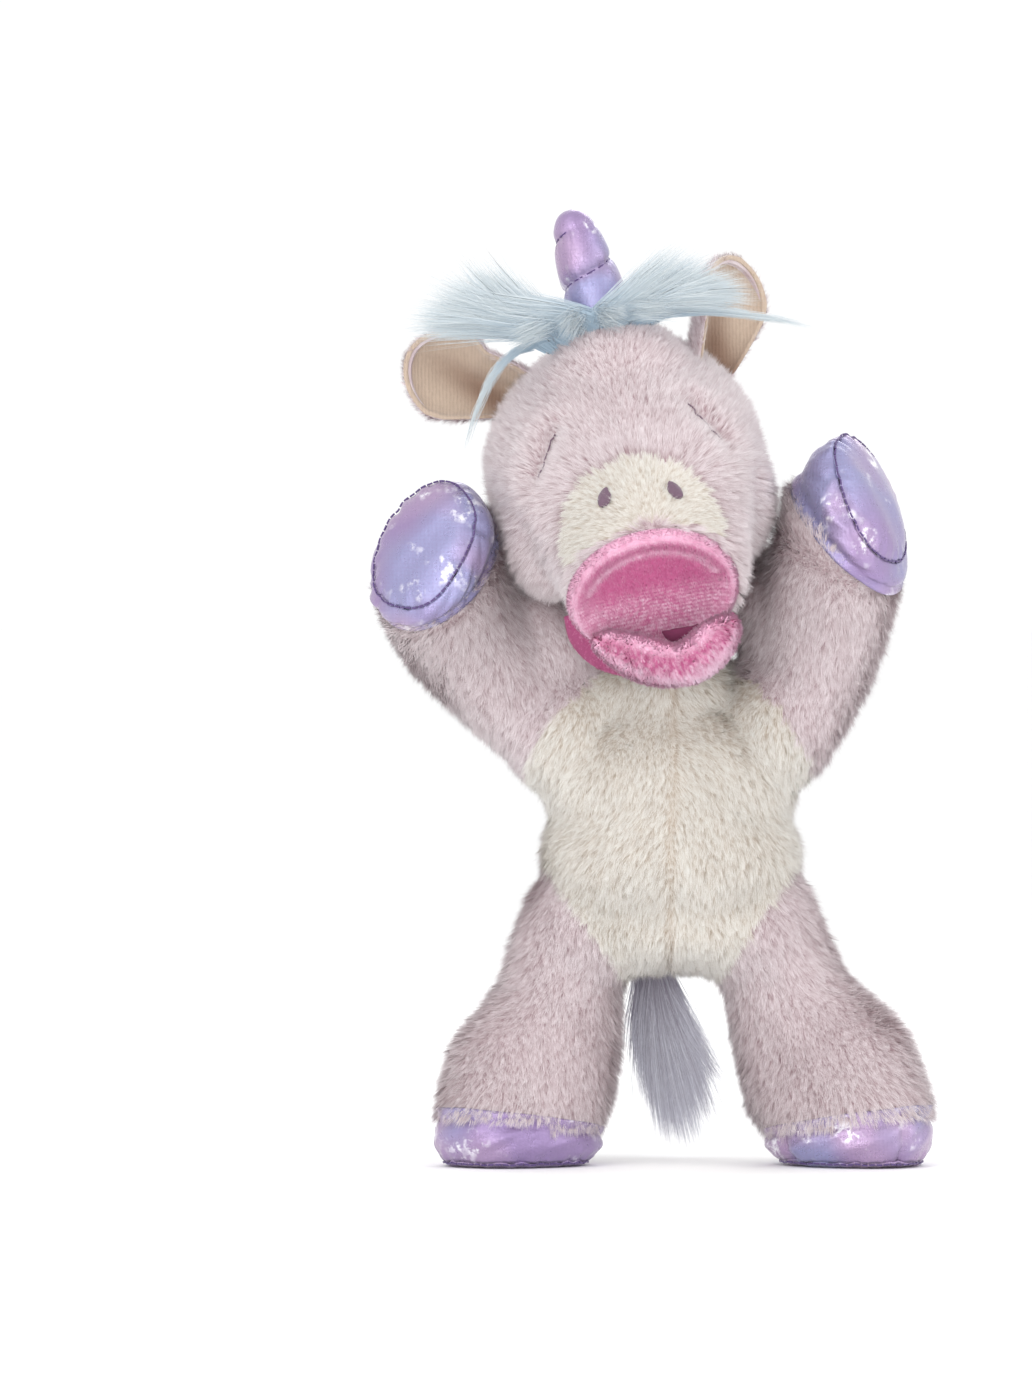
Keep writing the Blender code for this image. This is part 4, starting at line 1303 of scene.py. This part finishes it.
class PLUSH_OT_hooves(bpy.types.Operator):
    """Sews the foil cuffs and soles with their gathered seams"""

    bl_idname = "plush.hooves"
    bl_label = "Hooves"

    def execute(self, context):
        foil = foil_material()
        thread = thread_material("foil_thread", colours().foil_thread)
        for number, limb in enumerate(LIMBS):
            self.hoof(limb, foil, thread, 31 * number + 5)
        return {"FINISHED"}

    def hoof(self, limb, foil, thread, seed):
        middle, long_way, normal, short_way, long_half, short_half = sole_frame(limb)
        standing = "leg" in limb
        puff = 0.0 if standing else sizes().sole_puff
        rng = np.random.default_rng(seed)
        wrinkle_phase = rng.random(4) * 6.28

        tucks = [(rng.random() * 6.28, 0.8 + 0.9 * rng.random(), 0.045 + 0.03 * rng.random()) for _ in range(4)]

        def tuck(angle):
            """How deep the tucks pull the cloth in at an angle, in millimetres."""
            turns = ((angle - at + math.pi) % (2 * math.pi) - math.pi for at, _, _ in tucks)
            return sum(deep * math.exp(-((turn / wide) ** 2)) for turn, (_, deep, wide) in zip(turns, tucks))

        def seam_place(angle, fraction, height):
            fraction *= 1 - (0.040 * puckers(angle, seed + 3, 3, 2, 6) + 0.028 * tuck(angle)) * min(1.0, fraction) ** 6
            way = long_way * math.cos(angle) * long_half + short_way * math.sin(angle) * short_half
            return middle + way * fraction + normal * height

        bm = disc(144, (0.955, 0.94, 0.915, 0.885, 0.85, 0.8, 0.73, 0.64, 0.54, 0.43, 0.32, 0.21, 0.1))
        for vert in bm.verts:
            r, angle = math.hypot(vert.co.x, vert.co.y), math.atan2(vert.co.y, vert.co.x)
            edge = min(1.0, r / 0.955)
            gather = (puckers(angle, seed) * 0.45 - 0.5 * tuck(angle)) * math.exp(-(((edge - 1.0) / 0.14) ** 2)) * MM
            drop = (1.3 if standing else 1.6) * MM * edge**9
            fold = 0.22 * MM * math.sin(r * 9 * math.cos(angle - wrinkle_phase[0]) + wrinkle_phase[1]) * (1 - edge**4)
            height = puff * (1 - edge**2.4) - drop + gather + (0 if standing else fold)
            vert.co = seam_place(angle, r, min(height, -0.1 * MM) if standing else height)
        sole = sheet_from(bm, f"{limb}_sole_skin", normal, 0.6, foil)

        centre, across, other = cuff_ring(limb)
        rows = 16
        bm = bmesh.new()
        bmesh.ops.create_grid(bm, x_segments=144, y_segments=rows, size=0.5)
        for vert in bm.verts:
            angle = (vert.co.x + 0.5) * 2 * math.pi
            t = vert.co.y + 0.5
            bulge = math.sin(math.pi * min(1.0, t * 1.35)) ** 0.8 if t < 0.74 else 0.0
            gather = puckers(angle, seed) * math.exp(-((t / 0.22) ** 2)) * 0.4
            crush = 0.35 * math.sin(angle * 7 + t * 9 + wrinkle_phase[2]) * math.sin(t * 7 + wrinkle_phase[3])
            crush += 0.25 * puckers(angle + t, seed + 7) * math.sin(math.pi * t) - tuck(angle + 0.1 * t) * (1 - t)
            start = seam_place(angle, 0.945, -1.5 * MM)
            end = centre + across * math.cos(angle) + other * math.sin(angle)
            outward = (long_way * math.cos(angle) + short_way * math.sin(angle)).normalized()
            place = start.lerp(end, t) + outward * (1.9 * bulge + gather + crush) * MM
            if standing:
                place.z = max(place.z, 0.3 * MM)
            vert.co = place
        bmesh.ops.remove_doubles(bm, verts=bm.verts, dist=0.00002)
        cuff = object_from(bm, f"{limb}_cuff_skin", foil)
        wall = cuff.modifiers.new("wall", "SOLIDIFY")
        wall.thickness = 0.6 * MM
        wall.offset = -1.0
        line = [
            seam_place(a, 0.955, (-1.15 + 0.2 * puckers(a, seed)) * MM) for a in np.linspace(0, 2 * math.pi, 240)
        ]
        seam = threads(f"{limb}_hoof_seam", stitches(line, 1.5 * MM, 0.45 * MM), 0.26, thread)
        for piece in (sole, cuff, seam):
            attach(piece, limb)
        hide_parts(f"{limb}_hoof_sole")
        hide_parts(f"{limb}_hoof_cuff")


# Horn and ears

HORN_PROFILE = (
    (-3.0, 9.4),
    (0.0, 9.4),
    (6.5, 9.0),
    (11.0, 8.5),
    (15.5, 8.0),
    (20.0, 7.5),
    (24.5, 6.7),
    (28.0, 5.7),
    (30.6, 4.4),
    (32.2, 2.9),
    (32.9, 1.2),
)
HORN_PITCH = 13.0


def horn_middle(height):
    return Vector((1.6 - 0.12 * height, -6.0 - 0.10 * height, 37.0 + height))


class PLUSH_OT_horn(bpy.types.Operator):
    """Sews the foil horn and winds the thread that waists it"""

    bl_idname = "plush.horn"
    bl_label = "Horn"

    def execute(self, context):
        rows = smooth_run(HORN_PROFILE, 70)
        stations = [(*horn_middle(height), radius, radius) for height, radius in rows]
        horn = object_from(head_loft(stations, (1, 0, 0), 72, len(stations)), "horn_skin", foil_material())
        local = in_head(coordinates(horn.data))
        middle = np.array([horn_middle(z) for z in local[:, 2] - 37.0])
        angle = np.arctan2(local[:, 1] - middle[:, 1], local[:, 0] - middle[:, 0])
        height = local[:, 2] - 37.0
        lead = (height - 5.5 - HORN_PITCH * angle / (2 * math.pi)) / HORN_PITCH
        gap = np.abs(lead - np.round(lead)) * HORN_PITCH
        fade = np.clip((height + 1.0) / 4.0, 0, 1) * np.clip((30.0 - height) / 4.0, 0, 1)
        waist = (0.10 * np.exp(-((gap / 2.2) ** 2)) + 0.08 * np.exp(-((gap / 0.7) ** 2))) * fade
        rng = np.random.default_rng(12)
        tucks = sum(np.sin(angle * w + height * 0.2 + p) for w, p in zip((9, 14, 22, 31), rng.random(4) * 6.28)) / 4
        waist += 0.05 * tucks * np.exp(-((gap / 3.0) ** 2)) * fade
        local[:, :2] = middle[:, :2] + (local[:, :2] - middle[:, :2]) * (1 - waist)[:, None]
        set_coordinates(horn.data, from_head(local))
        wind = []
        for turn in np.linspace(-0.5, 1.75, 140):
            angle = turn * 2 * math.pi
            at = 5.5 + HORN_PITCH * turn
            radius = float(np.interp(at, rows[:, 0], rows[:, 1])) * 0.82 + 0.12
            wind.append(horn_middle(at) + Vector((math.cos(angle), math.sin(angle), 0)) * radius)
        wind = [HEAD @ (place * MM) for place in wind if -1.0 < place.z - 37.0 < 28.0]
        purple = thread_material("foil_thread", colours().foil_thread)
        thread = threads("horn_winding", stitches(wind, 2.6 * MM, 1.3 * MM), 0.2, purple)
        for piece in (horn, thread):
            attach(piece, "horn")
        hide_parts("horn_cover", "horn_stuffing")
        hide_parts("horn_thread")
        return {"FINISHED"}


def ear_axes(side):
    """The ear's pivot and its ways across, to its back and up."""
    joint = JOINTS[f"{side}_ear_flex"]
    pivot, across = np.array(joint["pos_m"]), np.array(joint["axis"])
    points = coordinates(frame["nodes"][f"{side}_ear_fur"].data) - pivot
    flat = points - np.outer(points @ across, across)
    _, _, axes = np.linalg.svd(flat - flat.mean(0), full_matrices=False)
    up = axes[0] if axes[0] @ flat.mean(0) > 0 else -axes[0]
    return pivot, across, np.cross(up, across), up


class PLUSH_OT_ears(bpy.types.Operator):
    """Sews the two ears: fur outside and ribbed velour inside"""

    bl_idname = "plush.ears"
    bl_label = "Ears"

    def execute(self, context):
        chosen, rng = colours(), np.random.default_rng(14)
        fur = pile_material("lilac_pile", chosen.fur_root, chosen.fur_tip)
        back = backing_material("lilac_backing", chosen.fur_root, chosen.fur_tip)
        velour = self.velour(chosen)
        for side in ("left", "right"):
            pivot, across, rear, up = ear_axes(side)
            outer = self.refined(f"{side}_ear_fur", f"{side}_ear_skin", back)
            lining = self.refined(f"{side}_ear_lining", f"{side}_ear_velour", velour)
            for piece, spread, shift in ((outer, 1.04, 0.3), (lining, 1.19, -0.3)):
                self.fold(piece, pivot, across, rear, up, spread, shift)
            centre = pivot + up * 11.0 * MM

            def outside(points, normals, centre=centre):
                return ((points - centre) * normals).sum(1) > 0

            shell = part_of(outer, f"{side}_ear_shell", outside)

            def flow(points, up=up, rear=rear):
                return np.repeat((up + rear * 0.2)[None], len(points), axis=0)

            hair = grow(f"{side}_ear_pile", shell, flow, 0.0036, rng, fur, lift=30.0)
            bpy.data.objects.remove(shell)
            for piece, slot in ((outer, "lilac_fur"), (hair, "lilac_fur"), (lining, "ear_velour")):
                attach(piece, f"{side}_ear")
            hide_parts(f"{side}_ear_fur")
            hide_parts(f"{side}_ear_lining")
        return {"FINISHED"}

    def fold(self, piece, pivot, across, rear, up, spread, shift):
        """Creases the ear along its length, rolls its rim and stores how deep each place lies in the crease, as painted
        shade for the ear lining.
        """
        points = coordinates(piece.data)
        x, y, z = ((points - pivot) @ way / MM for way in (across, rear, up))
        x = x * spread
        y = y + shift + 2.4 * np.exp(-((x / 3.2) ** 2)) * np.clip(1 - z / 24, 0, 1) - 0.012 * x * x
        x = x * (1 - 0.34 * np.clip(1 - z / 13, 0, 1))
        z = z * (1.01 - 0.05 * np.sign(shift)) - 8.0 * np.clip(1 - z / 9, 0, 1)
        inward = np.array(HEAD.translation) - pivot
        x = x + np.sign(inward @ across) * 3.5 * np.clip(1 - z / 9, 0, 2)
        moved = pivot + (np.outer(x, across) + np.outer(y, rear) + np.outer(z, up)) * MM
        set_coordinates(piece.data, moved)
        deep = np.exp(-((x / 4.2) ** 2)) * np.clip(1.1 - z / 22, 0, 1)
        piece.data.attributes.new("tone", "FLOAT", "POINT").data.foreach_set("value", deep.astype(np.float32))

    def refined(self, node_name, name, material):
        bm = merged(node_name)
        bmesh.ops.join_triangles(bm, faces=bm.faces, angle_face_threshold=0.6, angle_shape_threshold=0.9)
        made = object_from(bm, name, material)
        round_off = made.modifiers.new("round", "SUBSURF")
        round_off.levels = 2
        round_off.render_levels = 2
        return applied(made)

    def velour(self, chosen):
        made, shader = principled("ribbed_velour", 0.85, Sheen_Weight=0.4)
        tree = made.node_tree
        place = object_place(tree)
        settings = (("Vector", place), ("Scale", 330.0), ("Distortion", 2.5), ("Detail", 2.0))
        ribs = node(tree, "ShaderNodeTexWave", settings)
        rubbed = noise(tree, 700.0, 3.0, 0.6, place)
        deep = node(tree, "ShaderNodeAttribute", attribute_name="tone").outputs["Fac"]
        shade = arithmetic(tree, "ADD", arithmetic(tree, "MULTIPLY", ribs.outputs["Fac"], 0.3), rubbed, True)
        base = mix(tree, shade, tuple(c * 0.78 for c in chosen.velour), chosen.velour)
        # Painted shade: the lining darkens to brown deep in the ear's crease.
        base = mix(tree, deep, base, tuple(c * k for c, k in zip(chosen.velour, (0.42, 0.32, 0.28))))
        tree.links.new(base, shader.inputs["Base Color"])
        bump = node(tree, "ShaderNodeBump", (("Height", shade), ("Strength", 0.5), ("Distance", 0.0004)))
        tree.links.new(bump.outputs["Normal"], shader.inputs["Normal"])
        return made


# Long pile


LOCK_WAVE = 0.6


def locks(name, guides, count, rng, material, outward, steps, floor=None):
    """Long hair. Each guide is (share, root spread, tip spread, four places), in metres, of a curve it follows."""
    share = np.array([guide[0] for guide in guides], float)
    pick = rng.choice(len(guides), count, p=share / share.sum())
    root_spread = np.array([guide[1] for guide in guides])[pick] * MM
    tip_spread = np.array([guide[2] for guide in guides])[pick] * MM
    controls = np.array([[np.array(place) for place in guide[3]] for guide in guides])[pick]
    scatter = unit(rng.normal(size=(count, 3))) * rng.random((count, 1)) ** 0.6
    bundle = rng.normal(size=(max(2, count // 45), 3))[rng.integers(0, max(2, count // 45), count)] * 0.32
    for index in range(4):
        t = index / 3
        spread = (root_spread * (1 - t) + tip_spread * t)[:, None]
        controls[:, index] += spread * (scatter + bundle * t)
    reach = (0.62 + 0.46 * rng.random(count) ** 0.7)[:, None]
    paths = []
    for step in range(steps):
        t = reach * step / (steps - 1)
        one = 1 - t
        place = (
            one**3 * controls[:, 0]
            + 3 * one**2 * t * controls[:, 1]
            + 3 * one * t**2 * controls[:, 2]
            + t**3 * controls[:, 3]
        )
        paths.append(place + smooth_noise(place + scatter * 0.004, 9.0, 77) * LOCK_WAVE * MM * step / (steps - 1))
    paths = np.stack(paths, axis=1)
    if floor is not None:
        paths[:, :, 2] = np.maximum(paths[:, :, 2], floor)
    way = unit(paths[:, -1] - paths[:, 0])
    out = unit(outward(paths[:, steps // 2]))
    sides = unit(np.cross(way, out) + rng.normal(size=(count, 3)) * 0.35)
    shading = unit(np.cross(sides, way))
    shading *= np.sign((shading * out).sum(1, keepdims=True))
    width = sizes().forelock_width * (0.6 + 0.7 * rng.random(count))
    own = np.clip(0.5 + 0.28 * rng.normal(size=count), 0, 1)
    hair = ribbons(name, paths, sides, width, unit(shading + out * 0.8), own, material)
    hair.visible_shadow = False
    return hair


def head_places(*places):
    return [HEAD @ (Vector(place) * MM) for place in places]


class PLUSH_OT_long_pile(bpy.types.Operator):
    """Combs the forelock, the mane and the tail"""

    bl_idname = "plush.long_pile"
    bl_label = "Long pile"

    def execute(self, context):
        chosen, rng = colours(), np.random.default_rng(16)
        # The darker roots are painted shade for the depth of the long pile.
        blue_root = tuple(c * k for c, k in zip(chosen.blue_pile, (0.56, 0.68, 0.80)))
        grey_root = tuple(c * k for c, k in zip(chosen.grey_pile, (0.34, 0.30, 0.35)))
        blue = pile_material("long_blue_pile", blue_root, chosen.blue_pile, 0.5)
        grey = pile_material("long_grey_pile", grey_root, chosen.grey_pile, 0.9)
        centre = np.array(HEAD.translation)

        def from_centre(points):
            return points - centre + head_way(0, -0.02, 0)

        guides = []
        for x, rise in ((-15, 2), (-11, 5), (-7, 9), (-3, 6), (1, 3)):
            places = head_places((x, -13, 38), (x - 9, -18, 43.5), (x - 20, -17, 45), (x - 33, -15, 46 + rise))
            guides.append((3, 3.0, 5.0, places))
        for x in (-14, -8):
            places = head_places((x, -12, 35), (x - 7, -16, 42), (x - 14, -15, 50), (x - 19, -13, 59))
            guides.append((1.6, 2.6, 5.5, places))
        for x, rise in ((-4, 8), (1, 5), (6, 2), (10, -2), (13, -6)):
            near, far = (x + 16, -17, 43 + rise * 0.4), (x + 27, -14, 44 + rise)
            guides.append((2.6, 3.0, 4.6, head_places((x, -13, 38), (x + 8, -18, 41.5), near, far)))
        guides.append((0.5, 1.6, 1.0, head_places((12, -16, 38), (26, -19, 38), (40, -18, 34), (55, -15, 27))))
        guides.append((0.35, 1.5, 0.8, head_places((-19, -16, 36), (-27, -21, 37), (-34, -22, 29), (-42, -21, 13))))
        for x in (-13, -6, 1, 8, 14):
            near, far = (x * 1.4 + 1, -20.5, 40.5), (x * 2.1 + 3, -21, 38.5)
            guides.append((1.6, 3.4, 3.6, head_places((x, -12, 38), (x, -18, 42), near, far)))
        forelock = locks("forelock_hair", guides, 15000, rng, blue, from_centre, steps=6)
        guides = []
        for angle in np.radians(np.arange(6, 122, 9)):
            for lean in (-1, -0.3, 0.3, 1):
                root = np.array((0.0, math.sin(angle) * 36.0, math.cos(angle) * 36.5))
                out = root / 36.0
                down = np.array((0.0, math.cos(angle), -math.sin(angle)))
                side = np.array((lean, 0.0, 0.0))
                middle = root + out * 3.5 + down * 11 + side * 6
                places = (root, root + out * 4 + side * 2, middle, root + out * 1.5 + down * 21 + side * 10)
                guides.append((1, 3.0, 4.0, head_places(*places)))
        mane = locks("mane_hair", guides, 7500, rng, blue, from_centre, steps=5)
        guides = []
        low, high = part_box("tail_pile")
        top = Vector(((low.x + high.x) / 2 - 6 * MM, low.y + 5 * MM, high.z - 2 * MM))
        for tip_x, tip_z, share in ((-7, 27, 1), (-4, 16, 2), (0, 9, 3), (5, 8, 3), (10, 13, 2), (13, 22, 1)):
            tip = TORSO + Vector((tip_x, 24.0, tip_z)) * MM
            bend = Vector((tip.x * 0.6 + top.x * 0.4 - 2 * MM, tip.y + 5 * MM, 0.034))
            guides.append((share, 4.0, 4.2, (top, top + Vector((-1, 5, -10)) * MM, bend, tip)))
        tail_middle = np.array(TORSO) + (0, 0, 0.04)

        def from_tail(points):
            return points - tail_middle

        tail = locks("tail_hair", guides, 8500, rng, grey, from_tail, steps=6, floor=0.0012)
        for piece, body, slot, node_name in (
            (forelock, "head", "blue_pile", "forelock"),
            (mane, "head", "blue_pile", "mane"),
            (tail, "tail", "grey_pile", "tail_pile"),
        ):
            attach(piece, body)
            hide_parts(node_name)
        return {"FINISHED"}


class PLUSH_OT_label(bpy.types.Operator):
    """Weaves the blank satin care label"""

    bl_idname = "plush.label"
    bl_label = "Care label"

    def execute(self, context):
        made, shader = principled("satin_ribbon", 0.4, Sheen_Weight=0.2)
        tree = made.node_tree
        weave = node(tree, "ShaderNodeGroup", (("Scale", 2200.0), ("Fuzz", 0.2)), node_tree=cloth_group())
        base = mix(tree, weave.outputs["Mask"], (0.84, 0.83, 0.80), (0.93, 0.92, 0.90))
        tree.links.new(base, shader.inputs["Base Color"])
        settings = (("Height", weave.outputs["Height"]), ("Strength", 0.3), ("Distance", 0.0001))
        bump = node(tree, "ShaderNodeBump", settings)
        tree.links.new(bump.outputs["Normal"], shader.inputs["Normal"])
        label = frame["nodes"]["care_label"]
        label.data.materials.clear()
        label.data.materials.append(made)
        return {"FINISHED"}


# Stage


def aim(obj, target):
    obj.rotation_euler = (Vector(target) - obj.location).to_track_quat("-Z", "Y").to_euler()


class PLUSH_OT_stage(bpy.types.Operator):
    """Sets up the pale floor, the soft lights and the camera"""

    bl_idname = "plush.stage"
    bl_label = "Stage"

    def execute(self, context):
        scene, studio = context.scene, context.scene.plush_studio
        bm = bmesh.new()
        bmesh.ops.create_circle(bm, cap_ends=True, segments=64, radius=60.0)
        floor = object_from(bm, "floor", principled("floor_paint", 0.9)[0])
        tree = floor.data.materials[0].node_tree
        speckle = noise(tree, 30.0, 3.0, 0.5, object_place(tree))
        paint = mix(tree, speckle, (0.96, 0.96, 0.96), (0.98, 0.98, 0.98))
        tree.links.new(paint, tree.nodes["Principled BSDF"].inputs["Base Color"])
        world = bpy.data.worlds.new("studio")
        world.use_nodes = True
        world.node_tree.nodes["Background"].inputs["Color"].default_value = (1.0, 1.0, 1.0, 1.0)
        world.node_tree.nodes["Background"].inputs["Strength"].default_value = 1.04
        scene.world = world
        target = Vector((0.0, 0.0, 0.13))
        for name, place, size, power in (
            ("key", (-0.55, -0.85, 0.95), 0.8, studio.key_power),
            ("side", (0.95, -0.45, 0.55), 0.7, studio.fill_power),
            ("rim", (0.2, 0.9, 0.9), 0.6, studio.fill_power),
            ("low", (-0.25, -1.1, 0.06), 0.7, studio.low_power),
        ):
            light = bpy.data.lights.new(name, "AREA")
            light.size = size
            light.energy = power
            lamp = bpy.data.objects.new(name, light)
            scene.collection.objects.link(lamp)
            lamp.location = place
            aim(lamp, target)
        data = bpy.data.cameras.new("camera")
        data.sensor_fit = "VERTICAL"
        data.sensor_height = 36.0
        data.lens = 36.0 * studio.camera_distance / studio.view_height
        data.clip_end = 200.0
        camera = bpy.data.objects.new("camera", data)
        scene.collection.objects.link(camera)
        middle = TORSO + Vector((-41.6, 0.0, 128.0)) * MM
        camera.location = middle + Vector((0.0, -studio.camera_distance, 0.022))
        aim(camera, middle)
        scene.camera = camera
        scene.view_settings.view_transform = "Standard"
        return {"FINISHED"}


class PLUSH_PT_panel(bpy.types.Panel):
    """The plush unicorn's pieces, sizes and colours"""

    bl_idname = "PLUSH_PT_panel"
    bl_label = "Plush unicorn"
    bl_space_type = "VIEW_3D"
    bl_region_type = "UI"
    bl_category = "Plush"

    def draw(self, context):
        for settings in (context.scene.plush_sizes, context.scene.plush_colours, context.scene.plush_studio):
            box = self.layout.box()
            for name in settings.__annotations__:
                box.prop(settings, name)
        for operator in OPERATORS:
            self.layout.operator(operator.bl_idname)


SETTINGS = {"plush_sizes": PlushSizes, "plush_colours": PlushColours, "plush_studio": StudioSettings}
OPERATORS = (
    PLUSH_OT_stage,
    PLUSH_OT_torso,
    PLUSH_OT_limbs,
    PLUSH_OT_head,
    PLUSH_OT_mouth,
    PLUSH_OT_hooves,
    PLUSH_OT_horn,
    PLUSH_OT_ears,
    PLUSH_OT_long_pile,
    PLUSH_OT_label,
)


def register():
    for settings in SETTINGS.values():
        bpy.utils.register_class(settings)
    for name, settings in SETTINGS.items():
        setattr(bpy.types.Scene, name, bpy.props.PointerProperty(type=settings))
    for operator in OPERATORS:
        bpy.utils.register_class(operator)
    bpy.utils.register_class(PLUSH_PT_panel)


def unregister():
    bpy.utils.unregister_class(PLUSH_PT_panel)
    for operator in reversed(OPERATORS):
        bpy.utils.unregister_class(operator)
    for name in SETTINGS:
        delattr(bpy.types.Scene, name)
    for settings in reversed(SETTINGS.values()):
        bpy.utils.unregister_class(settings)


def main():
    register()
    for operator in OPERATORS:
        group_name, action = operator.bl_idname.split(".")
        getattr(getattr(bpy.ops, group_name), action)()


if __name__ == "__main__":
    main()
